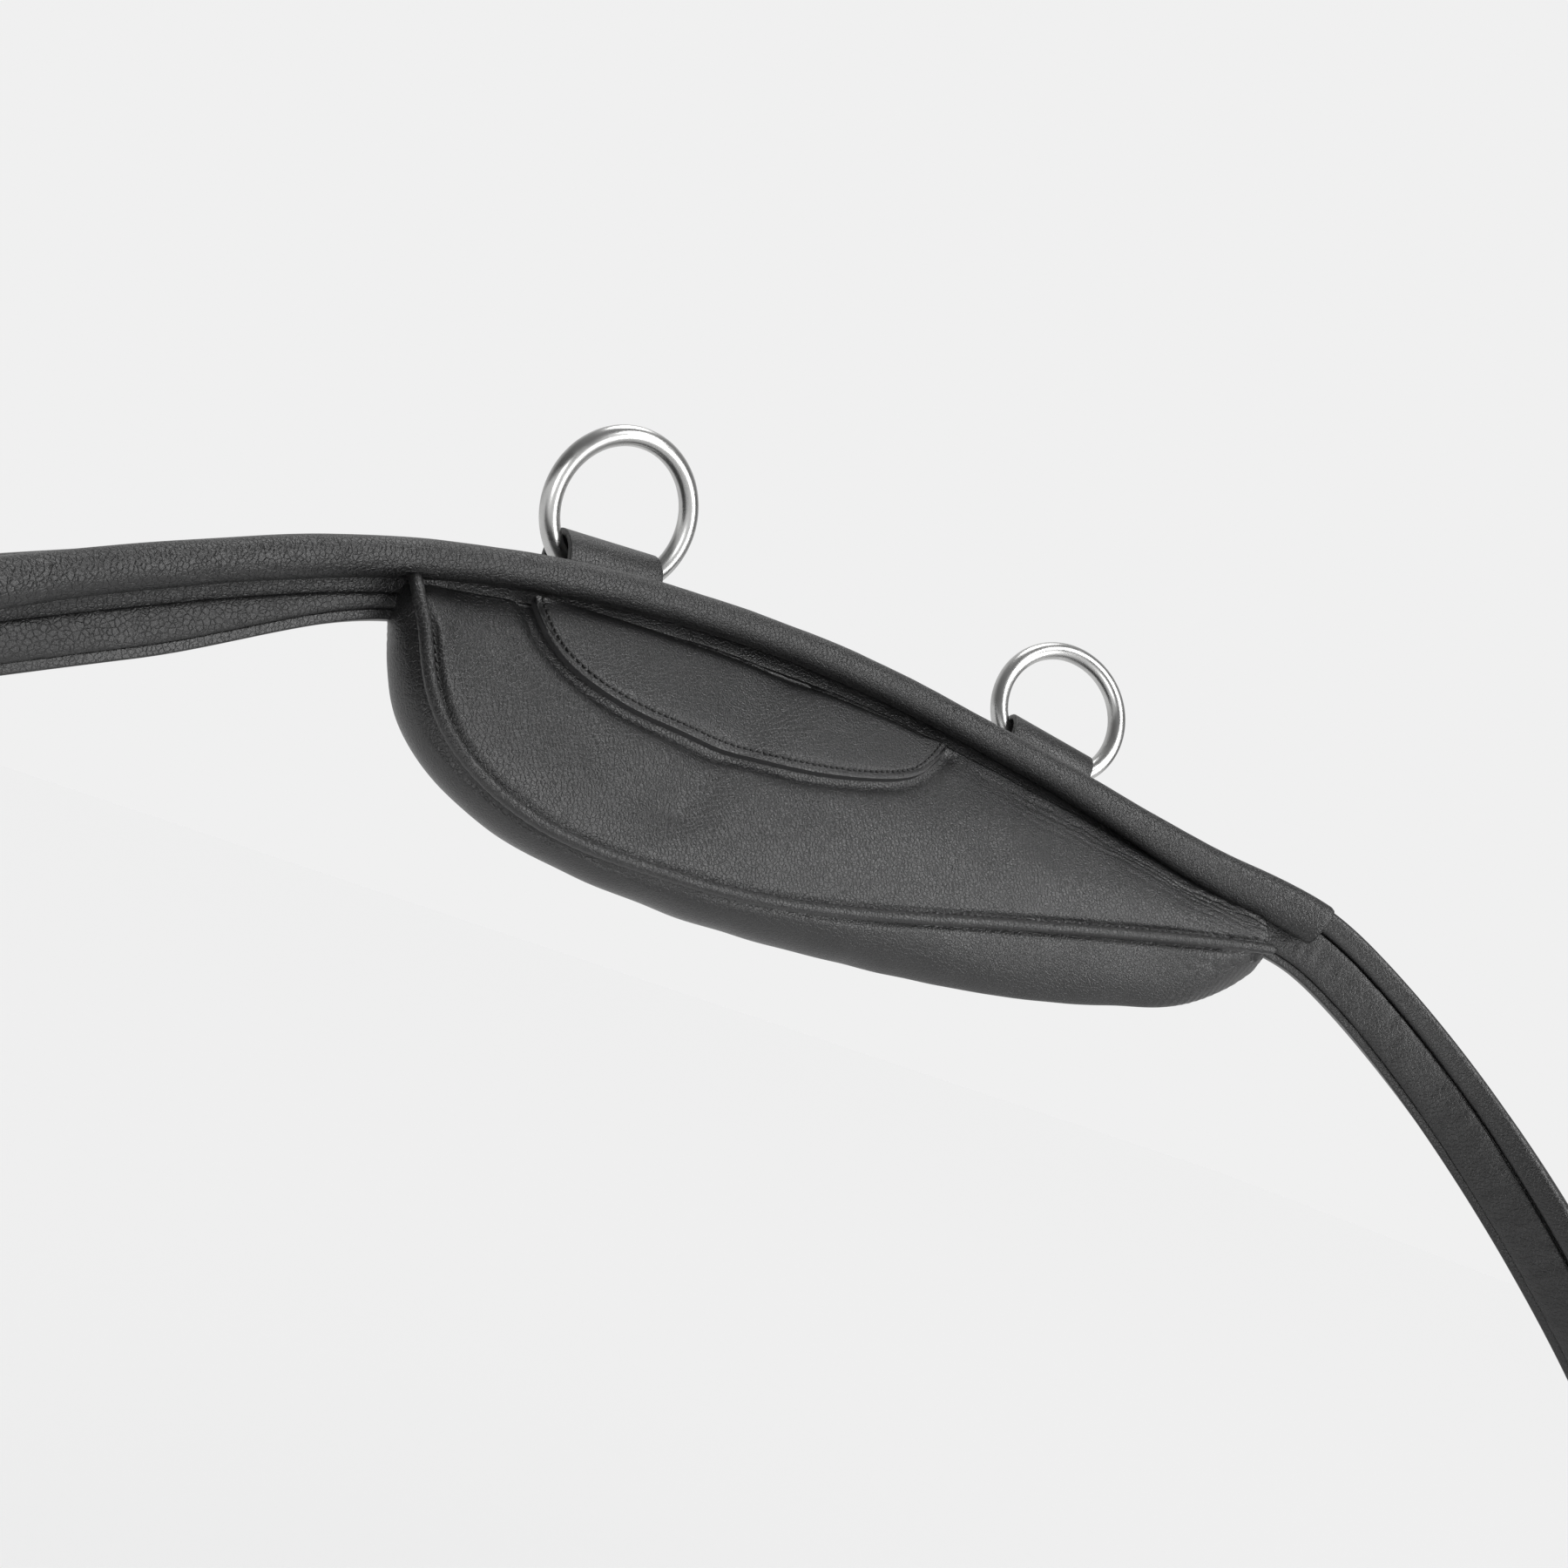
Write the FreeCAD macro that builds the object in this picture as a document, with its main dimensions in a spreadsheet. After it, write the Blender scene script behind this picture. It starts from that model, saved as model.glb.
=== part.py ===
"""Martingale neck strap with a padded wither pad, two standing O-rings and a chest ring.

Frame: millimetres, +Z up, +X to the right as seen from inside the neck loop, -Y into the loop.
The origin is the middle of the padded roll's span, on the line that the horse's neck fills.
"""
import FreeCAD, Part
import math
import os

from FreeCAD import Matrix, Placement, Rotation, Vector

DIMENSIONS = {
    # neck loop
    "pad_length": 240.0,
    "arch_rise": 24.8,
    "loop_drop": 285.0,
    "loop_reach": 252.0,
    "bow_radius": 330.0,
    # strap and its lining
    "strap_width": 20.0,
    "strap_thick": 3.2,
    "lining_width": 7.0,
    "lining_thick": 2.4,
    "lining_margin": 2.0,
    # padded roll
    "roll_height": 8.6,
    "roll_depth": 8.6,
    "roll_leather": 1.4,
    "roll_end": 145.0,
    # wither pad
    "pad_drop": 49.0,
    "pad_thickness": 17.0,
    "panel_tilt": 29.0,
    "panel_crown": 3.0,
    "panel_leather": 1.4,
    "welt_diameter": 3.0,
    "patch_leather": 1.6,
    # rings on the pad
    "ring_outer": 42.0,
    "ring_wire": 5.0,
    "ring_offset": 63.5,
    "chape_width": 26.0,
    "chape_leather": 1.7,
    "chape_flap": 14.0,
    # buckles and keepers
    "bar_diameter": 4.0,
    "frame_length": 26.0,
    "frame_side": 4.0,
    "tongue_width": 3.4,
    "tongue_thick": 2.2,
    "keeper_length": 9.0,
    "keeper_wall": 1.8,
    "hole_diameter": 4.8,
    "hole_pitch": 22.0,
    # chest ring
    "chest_ring_outer": 50.0,
    "chest_ring_wire": 6.0,
    # fits
    "clearance": 0.3,
    "bar_clearance": 0.06,
    "leather_gap": 0.15,
}

doc = FreeCAD.newDocument("Martingale")
sheet = doc.addObject("Spreadsheet::Sheet", "Dimensions")
for row, (alias, value) in enumerate(DIMENSIONS.items(), start=1):
    sheet.set("A%d" % row, alias)
    sheet.set("B%d" % row, str(value))
    sheet.setAlias("B%d" % row, alias)
doc.recompute()


def size(alias):
    """One driving dimension, in millimetres, read back from the sheet."""
    return float(getattr(sheet, alias))


# ---------------------------------------------------------------- neck line

LENGTH_SCALE = size("pad_length") / 240.0
RISE_SCALE = size("arch_rise") / 24.8
DROP_SCALE = size("loop_drop") / 285.0
REACH_SCALE = size("loop_reach") / 252.0

# Centre of the roll over the withers, left to right: (x, height) on the bow of the neck.
ARCH = [(-150, -20), (-121, -3), (-95, 8), (-64, 17), (-28, 23), (5, 24.8),
        (39, 22.9), (80, 17.7), (120, 11.7), (145, 7.5), (158, 1.0)]
# From the arch down each side of the neck: (x, reach, height).
LEFT_SIDE = [(-204, -82, -70), (-182, -55, -44)]
RIGHT_SIDE = [(180, -51, -17), (204, -80, -57)]
# The straight stretch on each side that carries the buckle, from its top to its foot.
STRETCH_TOP = (214, -110, -100)
STRETCH_FOOT = (198, -186, -200)
# Under the neck, from the foot of the stretch to the middle of the chest.
CHEST = [(168, -222, -242), (112, -243, -271), (68, -250, -282.5), (0, -252, -285)]


def arch_point(x, height):
    along = x * LENGTH_SCALE
    return Vector(along, -along ** 2 / (2 * size("bow_radius")), height * RISE_SCALE)


def side_point(x, reach, height):
    return Vector(x * LENGTH_SCALE, reach * REACH_SCALE, height * DROP_SCALE)


def mirrored(point):
    return Vector(-point.x, point.y, point.z)


class Line:
    """A smooth line through points, with the direction in which the strap's width hangs."""

    def __init__(self, points, widths, turn=1):
        self.curve = Part.BSplineCurve()
        self.curve.interpolate(Points=points)
        self.turn = turn
        self.widths = widths

    def parameter(self, point):
        return self.curve.parameter(point)

    def width(self, point):
        """Blend the width directions of the two listed places that the point lies between."""
        here = self.curve.parameter(point)
        marks = [(self.curve.parameter(place), hang) for place, hang in self.widths]
        if here <= marks[0][0]:
            return marks[0][1]
        for (low, first), (high, second) in zip(marks, marks[1:]):
            if here <= high:
                share = (here - low) / (high - low)
                ease = share * share * (3 - 2 * share)
                return first * (1 - ease) + second * ease
        return marks[-1][1]

    def frame(self, parameter):
        """Place, run, width and inward direction at a parameter of the line."""
        place = self.curve.value(parameter)
        run = Vector(*self.curve.tangent(parameter)[0])
        run.normalize()
        hang = self.width(place)
        hang = hang - run * hang.dot(run)
        hang.normalize()
        return place, run, hang, hang.cross(run) * self.turn


def stretch(side):
    """Top, foot and unit direction of the straight stretch; side is -1 left, +1 right."""
    top = side_point(*STRETCH_TOP)
    foot = side_point(*STRETCH_FOOT)
    if side < 0:
        top, foot = mirrored(top), mirrored(foot)
    run = foot - top
    run.normalize()
    return top, foot, run


# Width directions: straight down behind the pad, then turned flat against the neck.
HANG_MIDDLE = Vector(0, -0.25, -0.97)
HANG_LEFT = Vector(0.30, 0.05, -0.95)
HANG_RIGHT = Vector(-0.31, 0.27, -0.92)
HANG_SIDE = Vector(0, 0.79, -0.61)

LEFT_TOP, LEFT_FOOT, LEFT_RUN = stretch(-1)
RIGHT_TOP, RIGHT_FOOT, RIGHT_RUN = stretch(1)

# The line runs on a little way down both stretches, so that it leaves them straight.
RUN_ON = 24.0
top_points = [LEFT_TOP + LEFT_RUN * RUN_ON, LEFT_TOP] + [side_point(*p) for p in LEFT_SIDE]
top_points += [arch_point(*p) for p in ARCH]
top_points += [side_point(*p) for p in RIGHT_SIDE] + [RIGHT_TOP, RIGHT_TOP + RIGHT_RUN * RUN_ON]
top_widths = [(LEFT_TOP, HANG_SIDE), (arch_point(*ARCH[0]), HANG_LEFT),
              (arch_point(*ARCH[3]), HANG_MIDDLE), (arch_point(*ARCH[7]), HANG_MIDDLE),
              (arch_point(*ARCH[10]), HANG_RIGHT), (RIGHT_TOP, HANG_SIDE)]
TOP_LINE = Line(top_points, top_widths)
FIRST = TOP_LINE.parameter(LEFT_TOP)
LAST = TOP_LINE.parameter(RIGHT_TOP)

ROLL_RADIUS = size("roll_height") / 2
STRAP_FACE = -size("roll_depth") / 2 - size("leather_gap")
STRAP_BACK = STRAP_FACE - size("strap_thick")
STRAP_TOP = -ROLL_RADIUS + 0.3
STRAP_FOOT = STRAP_TOP + size("strap_width")
STRAP_MIDDLE = (STRAP_TOP + STRAP_FOOT) / 2


# ---------------------------------------------------------------- helpers

def at(frame, down, inward):
    """A point given from a line's frame: down the width, and inward from the line."""
    place, run, hang, inside = frame
    return place + hang * down + inside * inward


def parameters(line, first, last, count):
    return [first + (last - first) * k / (count - 1) for k in range(count)]


def polygon(points):
    return Part.makePolygon(list(points) + [points[0]])


def band(frames, down_from, down_to, out_from, out_to):
    """A flat strip lofted through frames, between two widths and two thicknesses."""
    wires = []
    for frame in frames:
        wires.append(polygon([at(frame, down_from, out_from), at(frame, down_to, out_from),
                              at(frame, down_to, out_to), at(frame, down_from, out_to)]))
    return Part.makeLoft(wires, True, False)


def oval(frame, half_down, half_in, centre_in=0.0):
    """An elliptic wire across a frame, centred centre_in inward from the line."""
    place, run, hang, inside = frame
    ring = Part.Circle(Vector(0, 0, 0), Vector(0, 0, 1), 1.0).toShape()
    matrix = Matrix(hang.x * half_down, inside.x * half_in, run.x, place.x,
                    hang.y * half_down, inside.y * half_in, run.y, place.y,
                    hang.z * half_down, inside.z * half_in, run.z, place.z,
                    0, 0, 0, 1)
    stretched = ring.transformGeometry(matrix)
    stretched.translate(inside * centre_in)
    return Part.Wire(stretched.Edges)


def frames_between(line, first, last, count):
    return [line.frame(u) for u in parameters(line, first, last, count)]


def straight_frames(side, begin, end, count=2):
    """Frames along the straight stretch, from begin to end millimetres below its top."""
    top, foot, run = stretch(side)
    hang = HANG_SIDE - run * HANG_SIDE.dot(run)
    hang.normalize()
    inside = hang.cross(run) * side
    places = [begin + (end - begin) * k / (count - 1) for k in range(count)]
    return [(top + run * place, run, hang, inside) for place in places]


def roll_line_at(x):
    """Parameter of the top line where it passes a given x."""
    low, high = FIRST, LAST
    for _ in range(60):
        middle = (low + high) / 2
        if TOP_LINE.curve.value(middle).x < x:
            low = middle
        else:
            high = middle
    return (low + high) / 2


def roll_centre(x):
    return TOP_LINE.curve.value(roll_line_at(x))


def add_shape(name, shape):
    """Store a finished solid as a sub-part of its own."""
    feature = doc.addObject("Part::Feature", name)
    feature.Label = name
    if shape.ShapeType == "Compound" and len(shape.Solids) == 1:
        shape = shape.Solids[0]
    feature.Shape = shape
    SUBPARTS.append(feature)
    return feature


def orient(origin, x_axis, y_axis):
    """Placement with its local X along x_axis and local Y along y_axis."""
    along = Vector(x_axis)
    along.normalize()
    across = y_axis - along * along.dot(y_axis)
    across.normalize()
    normal = along.cross(across)
    turned = Matrix(along.x, across.x, normal.x, origin.x,
                    along.y, across.y, normal.y, origin.y,
                    along.z, across.z, normal.z, origin.z,
                    0, 0, 0, 1)
    return Placement(turned)


SUBPARTS = []
SIDE_NAME = {-1: "left", 1: "right"}


def new_body(name):
    body = doc.addObject("PartDesign::Body", name)
    body.Label = name
    planes = {feature.Role: feature for feature in body.Origin.OriginFeatures}
    return body, planes


def new_sketch(body, planes, plane, title):
    made = body.newObject("Sketcher::SketchObject", body.Name + "_" + title)
    made.AttachmentSupport = [(planes[plane], "")]
    made.MapMode = "FlatFace"
    return made


def draw(sketch, corners):
    for k in range(len(corners)):
        start, end = corners[k], corners[(k + 1) % len(corners)]
        sketch.addGeometry(Part.LineSegment(Vector(*start, 0), Vector(*end, 0)), False)


def draw_circle(sketch, radius):
    sketch.addGeometry(Part.Circle(Vector(0, 0, 0), Vector(0, 0, 1), radius), False)


def pad_feature(body, profile, title, length):
    """Extrude a sketch both ways; length is an expression of the sheet or a number."""
    made = body.newObject("PartDesign::Pad", body.Name + "_" + title)
    made.Profile = profile
    made.Midplane = True
    if isinstance(length, str):
        made.setExpression("Length", length)
    else:
        made.Length = length


def pocket_feature(body, profile, title, length):
    made = body.newObject("PartDesign::Pocket", body.Name + "_" + title)
    made.Profile = profile
    made.Midplane = True
    made.Length = length
    body.Tip = made


# ---------------------------------------------------------------- strap, roll and lining

ROLL_LEFT = roll_line_at(-(size("roll_end") + 32) * LENGTH_SCALE)
ROLL_RIGHT = roll_line_at(size("roll_end") * LENGTH_SCALE)
# The strap's straight ends, their lap on the curve, and how far each lining stops short of the pad.
STRAP_END = 66.0
END_LAP = 1.0
LINING_SHORT = 12.0


def make_neck_strap():
    """The load-carrying strap: one strip from buckle to buckle, behind roll and pad."""
    strap = neck_band(0.0)
    for side in (-1, 1):
        ends = straight_frames(side, -END_LAP, STRAP_END)
        strap = strap.fuse(band(ends, STRAP_TOP, STRAP_FOOT, STRAP_BACK, STRAP_FACE))
    add_shape("neck_strap", strap)


def neck_band(spare):
    """The strap's curved length, or the way it needs through the pad with spare all round."""
    frames = frames_between(TOP_LINE, FIRST, LAST, round(27 * LENGTH_SCALE ** 3))
    return band(frames, STRAP_TOP - spare, STRAP_FOOT + spare, STRAP_BACK - spare,
                STRAP_FACE + spare)


def make_roll():
    """A foam cord in a leather cover, along the strap's upper inner edge."""
    frames = frames_between(TOP_LINE, ROLL_LEFT, ROLL_RIGHT, round(17 * LENGTH_SCALE ** 3))
    inner = ROLL_RADIUS - size("roll_leather")
    depth = size("roll_depth") / 2
    cover = Part.makeLoft([oval(f, ROLL_RADIUS, depth) for f in frames], True, False)
    hollow = Part.makeLoft([oval(f, inner, depth - size("roll_leather")) for f in frames], True, False)
    core_gap = size("leather_gap")
    core = Part.makeLoft([oval(f, inner - core_gap, depth - size("roll_leather") - core_gap)
                          for f in frames], True, False)
    add_shape("roll_cover", cover.cut(hollow))
    add_shape("roll_core", core)


def make_linings():
    """The soft strip sewn inside each side of the strap, below the roll."""
    face = STRAP_FACE + size("leather_gap")
    foot = STRAP_FOOT - size("lining_margin")
    top = foot - size("lining_width")
    way = neck_band(size("leather_gap"))
    spans = {"left": (FIRST, roll_line_at(PAD_LEFT - LINING_SHORT)),
             "right": (roll_line_at(PAD_RIGHT + LINING_SHORT), LAST)}
    for side, (first, last) in spans.items():
        frames = frames_between(TOP_LINE, first, last, 9)
        strip = band(frames, top, foot, face, face + size("lining_thick"))
        add_shape("strap_lining_" + side, strip.cut(way))


# ---------------------------------------------------------------- wither pad

TILT = math.radians(size("panel_tilt"))
PANEL_DOWN = Vector(0, -math.sin(TILT), -math.cos(TILT))
PANEL_OUT = Vector(0, -math.cos(TILT), math.sin(TILT))
PANEL_FRONT = -3.0
DROP_RATIO = size("pad_drop") / 49.0

# The front seam, from the pad's upper left corner round to its right tip: (x, drop).
WELT = [(-108.5, 5.5), (-105.5, 12), (-101, 24), (-93, 36.5), (-82, 44), (-67, 48.4), (-45, 48.8),
        (-20, 46.8), (9, 40.7), (47, 29.4), (86, 17.7), (118, 8.6), (130, 5.5)]
# The back seam, level with the same places: (x, drop).
BACK_SEAM = [(-109.5, 3), (-108.5, 12), (-103, 24.5), (-93, 35), (-81, 41.5), (-65, 45), (-42, 47.2),
             (-12, 47), (20, 44.6), (58, 39.5), (95, 30), (123, 17), (138, 2)]
# The half-moon patch's lower edge: (x, drop).
PATCH_EDGE = [(-84, -5.5), (-79.5, 2.8), (-70, 10.4), (-53, 14.5), (-30, 14), (-7, 10.7),
              (12.7, 4.3), (24, -2.5), (31, -13)]

PAD_LEFT = WELT[0][0] * LENGTH_SCALE
PAD_RIGHT = WELT[-1][0] * LENGTH_SCALE


def panel_point(x, drop, out):
    """A point of the pad: x along it, drop down the tilted panel, out from the panel's face."""
    base = Vector(x, -x ** 2 / (2 * size("bow_radius")) + PANEL_FRONT, 0)
    return base + PANEL_DOWN * drop + PANEL_OUT * out


def seam_top(x):
    """Drop of the pad's upper seam, tucked under the back of the roll."""
    centre = roll_centre(x)
    seam = Vector(0, centre.y + x ** 2 / (2 * size("bow_radius")) + 1.2 - PANEL_FRONT,
                  centre.z - ROLL_RADIUS - 1.2)
    return seam.dot(PANEL_DOWN)


def seam_height(outline, x):
    """Drop of a seam at x, along its lower run, by straight steps between its points."""
    scaled = [(px * LENGTH_SCALE, drop * DROP_RATIO) for px, drop in outline]
    for (x_low, low), (x_high, high) in zip(scaled, scaled[1:]):
        if x_low <= x <= x_high:
            return low + (high - low) * (x - x_low) / (x_high - x_low)
    return scaled[0][1] if x < scaled[0][0] else scaled[-1][1]


def top_out(x):
    """How far the upper seam stands in front of the panel's plane."""
    centre = roll_centre(x)
    seam = Vector(0, centre.y + x ** 2 / (2 * size("bow_radius")) + 1.2 - PANEL_FRONT,
                  centre.z - ROLL_RADIUS - 1.2)
    return seam.dot(PANEL_OUT)


def face_point(x, share, lift, outline=None):
    """A point of the crowned front: share runs from 0 at the upper seam to 1 at the welt."""
    outline = outline or WELT
    top = seam_top(x)
    foot = seam_height(outline, x)
    lean = top_out(x) * (1 - share)
    width = foot - top
    crown = size("panel_crown") * 4 * share * (1 - share) * min(1.0, width / 30)
    return panel_point(x, top + width * share, lean + crown + lift)


def sheet_loft(stations, outer, inner):
    """A thin shell lofted through stations; outer and inner give its two faces' points."""
    wires = []
    for station in stations:
        front = Part.BSplineCurve()
        front.interpolate(outer(station))
        back = Part.BSplineCurve()
        back.interpolate(inner(station))
        near = outer(station)
        far = inner(station)
        wires.append(Part.Wire([front.toShape(), Part.LineSegment(near[-1], far[-1]).toShape(),
                                back.toShape(), Part.LineSegment(far[0], near[0]).toShape()]))
    return Part.makeLoft(wires, True, False)


SHARES = (0.0, 0.25, 0.5, 0.75, 1.0)
FRONT_STATIONS = [x * LENGTH_SCALE for x in (-105, -101, -96, -88, -75, -55, -25, 10, 45, 80, 108, 127)]


def make_front_panel():
    leather = size("panel_leather")
    shell = sheet_loft(FRONT_STATIONS,
                       lambda x: [face_point(x, share, 0) for share in SHARES],
                       lambda x: [face_point(x, share, -leather) for share in SHARES])
    add_shape("pad_front_panel", shell)


def back_point(x, share, lift):
    """A point of the pad's back: share runs from 0 at its upper edge to 1 at the back seam."""
    depth = size("pad_thickness")
    top = seam_top(x) + 11
    foot = max(seam_height(BACK_SEAM, x), top + 4)
    crown = 2.5 * 4 * share * (1 - share)
    thin = depth * (0.62 + 0.38 * share)
    return panel_point(x, top + (foot - top) * share, -thin - crown - lift)


def make_back_panel():
    leather = size("panel_leather")
    shell = sheet_loft(FRONT_STATIONS,
                       lambda x: [back_point(x, share, 0) for share in SHARES],
                       lambda x: [back_point(x, share, -leather) for share in SHARES])
    add_shape("pad_back_panel", shell.cut(neck_band(size("leather_gap"))))


def make_filling():
    """The foam that fills the pad between its two faces."""
    skin = size("panel_leather") + 4 * size("leather_gap")
    wires = []
    for x in FRONT_STATIONS:
        front = [face_point(x, 0.1 + 0.8 * share, -skin) for share in SHARES]
        back = [back_point(x, 0.1 + 0.8 * share, -skin) for share in SHARES]
        near = Part.BSplineCurve()
        near.interpolate(front)
        far = Part.BSplineCurve()
        far.interpolate(back)
        wires.append(Part.Wire([near.toShape(), Part.LineSegment(front[-1], back[-1]).toShape(),
                                far.toShape(), Part.LineSegment(back[0], front[0]).toShape()]))
    filling = Part.makeLoft(wires, True, False)
    add_shape("pad_filling", filling.cut(neck_band(size("leather_gap"))))


def rim(k):
    """Front and back seam points number k, and the outward direction between them."""
    depth = size("pad_thickness")
    (fx, fd), (bx, bd) = WELT[k], BACK_SEAM[k]
    front = panel_point(fx * LENGTH_SCALE, fd * DROP_RATIO, 0)
    back = panel_point(bx * LENGTH_SCALE, bd * DROP_RATIO, -depth)
    before = WELT[max(k - 1, 0)]
    after = WELT[min(k + 1, len(WELT) - 1)]
    along = (panel_point(after[0] * LENGTH_SCALE, after[1] * DROP_RATIO, 0)
             - panel_point(before[0] * LENGTH_SCALE, before[1] * DROP_RATIO, 0))
    outward = along.cross(PANEL_OUT)
    outward.normalize()
    if outward.dot(PANEL_DOWN) < -0.2 or (k < 3 and outward.x > 0):
        outward = outward * -1
    return front, back, outward


def make_gusset():
    """The bottom wall between the front and back seams, bulged outwards."""
    leather = size("panel_leather")
    gap = size("leather_gap") + 0.1
    wires = []
    for k in range(len(WELT)):
        front, back, outward = rim(k)
        rows = []
        for inset in (gap, gap + leather):
            points = []
            for share in (0.0, 0.35, 0.7, 1.0):
                bulge = 3.0 * 4 * share * (1 - share)
                reach = leather + 2 * gap + bulge - (inset - gap)
                points.append(front * (1 - share) + back * share + outward * reach)
            rows.append(points)
        outer = Part.BSplineCurve()
        outer.interpolate(rows[0])
        inner = Part.BSplineCurve()
        inner.interpolate(rows[1])
        wires.append(Part.Wire([outer.toShape(), Part.LineSegment(rows[0][-1], rows[1][-1]).toShape(),
                                inner.toShape(), Part.LineSegment(rows[1][0], rows[0][0]).toShape()]))
    gusset = Part.makeLoft(wires, True, False)
    add_shape("pad_gusset", gusset.cut(neck_band(size("leather_gap"))))


def make_welt():
    """The piped cord along the front seam."""
    radius = size("welt_diameter") / 2
    points = []
    for k in range(len(WELT)):
        front, _, outward = rim(k)
        points.append(front + PANEL_OUT * (radius + 0.2) + outward * (radius + 0.2))
    path = Part.BSplineCurve()
    path.interpolate(points)
    wires = []
    count = 26
    for k in range(count):
        u = path.FirstParameter + (path.LastParameter - path.FirstParameter) * k / (count - 1)
        tangent = Vector(*path.tangent(u)[0])
        wires.append(Part.Wire([Part.Circle(path.value(u), tangent, radius).toShape()]))
    add_shape("welt_piping", Part.makeLoft(wires, True, False))


def make_patch():
    """The firm half-moon sewn on the front panel, its top tucked under the roll."""
    leather = size("patch_leather")
    gap = size("leather_gap")
    stations = [x * LENGTH_SCALE for x in (-82, -78, -70, -55, -32, -8, 11, 23, 30)]

    def row(x, lift):
        top, foot = seam_top(x), seam_height(WELT, x)
        edge = seam_height(PATCH_EDGE, x)
        low = 0.02
        high = (edge - top) / (foot - top)
        return [face_point(x, low + (high - low) * share, lift) for share in SHARES]

    shell = sheet_loft(stations, lambda x: row(x, gap + leather), lambda x: row(x, gap))
    add_shape("half_moon_patch", shell)


# ---------------------------------------------------------------- O-rings in their chapes

CHAPE_HALF = size("chape_width") / 2
# Inside the chape the ring's wire reaches from its lowest point up to its hole at the edges.
RING_LOW = size("ring_outer") / 2
RING_HIGH = math.sqrt((RING_LOW - size("ring_wire")) ** 2 - CHAPE_HALF ** 2)
TUNNEL_RADIUS = (RING_LOW - RING_HIGH) / 2 + size("clearance")
TUNNEL_OUTER = TUNNEL_RADIUS + size("chape_leather")
RING_STAND = (RING_LOW + RING_HIGH) / 2
# Lean of each standing ring towards the inside of the loop, and turn of its chape, in degrees.
RING_LEAN = {"left": 17.0, "right": -5.0}
CHAPE_TURN = {"left": -4.0, "right": 0.0}
# Tunnel's place: how far behind the strap's back, and how far above its top edge.
TUNNEL_BEHIND = 5.6
TUNNEL_ABOVE = 5.6
# Room for the strap's curve under the flat flap.
FLAP_SPARE = 0.8


def chape_frame(side):
    """Tunnel centre, tunnel axis and the plane of the strap's back at one ring."""
    sign = -1 if side == "left" else 1
    x = sign * size("ring_offset") * LENGTH_SCALE
    place, run, hang, inside = TOP_LINE.frame(roll_line_at(x))
    spare = CHAPE_HALF * abs(math.sin(math.radians(CHAPE_TURN[side])))
    reach = STRAP_BACK - TUNNEL_BEHIND - spare
    rise = STRAP_TOP - TUNNEL_ABOVE
    centre = place + hang * rise + inside * reach
    turn = Rotation(hang, CHAPE_TURN[side])
    return centre, turn.multVec(run), hang, inside


def make_ring_chape(side):
    """A leather loop round the ring, its doubled flap sewn to the strap's back."""
    body, planes = new_body("ring_chape_" + side)
    wrap = new_sketch(body, planes, "XY_Plane", "wrap")
    draw_circle(wrap, TUNNEL_OUTER)
    pad_feature(body, wrap, "wrap_pad", "Dimensions.chape_width")
    # Local X points down the strap, local Y points inward, towards the strap.
    flap = new_sketch(body, planes, "XY_Plane", "flap")
    front = TUNNEL_BEHIND - FLAP_SPARE
    rear = front - 2 * size("chape_leather")
    foot = TUNNEL_OUTER + size("chape_flap")
    draw(flap, [(0, rear), (foot, rear), (foot, front), (0, front)])
    pad_feature(body, flap, "flap_pad", "Dimensions.chape_width")
    doc.recompute()
    tunnel = new_sketch(body, planes, "XY_Plane", "tunnel")
    draw_circle(tunnel, TUNNEL_RADIUS)
    pocket_feature(body, tunnel, "bore", size("chape_width") * 2)
    centre, axis, hang, inside = chape_frame(side)
    down = hang - axis * hang.dot(axis)
    down.normalize()
    across = axis.cross(down)
    if across.dot(inside) < 0:
        axis = axis * -1
        across = across * -1
    body.Placement = Placement(Matrix(down.x, across.x, axis.x, centre.x,
                                      down.y, across.y, axis.y, centre.y,
                                      down.z, across.z, axis.z, centre.z,
                                      0, 0, 0, 1))
    SUBPARTS.append(body)


def make_ring(side):
    """A round steel ring standing in its chape; it swings about the tunnel's axis."""
    centre, axis, _, _ = chape_frame(side)
    upright = Vector(0, 0, 1) - axis * axis.z
    upright.normalize()
    forward = Vector(0, -1, 0) + axis * axis.y
    forward = forward - upright * forward.dot(upright)
    forward.normalize()
    lean = math.radians(RING_LEAN[side])
    stand = upright * math.cos(lean) + forward * math.sin(lean)
    ring = doc.addObject("Part::Torus", "ring_" + side)
    ring.Label = "ring_" + side
    ring.setExpression("Radius1", "(Dimensions.ring_outer - Dimensions.ring_wire) / 2")
    ring.setExpression("Radius2", "Dimensions.ring_wire / 2")
    ring.Placement = orient(centre + stand * RING_STAND, axis, stand)
    SUBPARTS.append(ring)


# ---------------------------------------------------------------- buckles on the straight stretch

# Millimetres down the stretch: the bar and the two keepers.
BAR_PLACE = 72.0
KEEPER_PLACES = {"fixed_keeper": 54.0, "sliding_keeper": 26.0}
BAR_DEPTH = STRAP_FACE - 0.4
TURNED_PLY = 2.2
TURNED_LENGTH = 44.0
BAR_RADIUS = size("bar_diameter") / 2
WRAP_INNER = BAR_RADIUS + size("bar_clearance")
WRAP_OUTER = WRAP_INNER + TURNED_PLY
FRAME_INNER = size("strap_width") / 2 + 1.0
# Tilt of the closed frame over the billet, in degrees.
FRAME_TILT = 13.6
TILT_SIN = math.sin(math.radians(FRAME_TILT))
TILT_COS = math.cos(math.radians(FRAME_TILT))
STRAP_OUTER_Z = BAR_DEPTH - STRAP_BACK
STRAP_INNER_Z = BAR_DEPTH - STRAP_FACE
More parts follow.
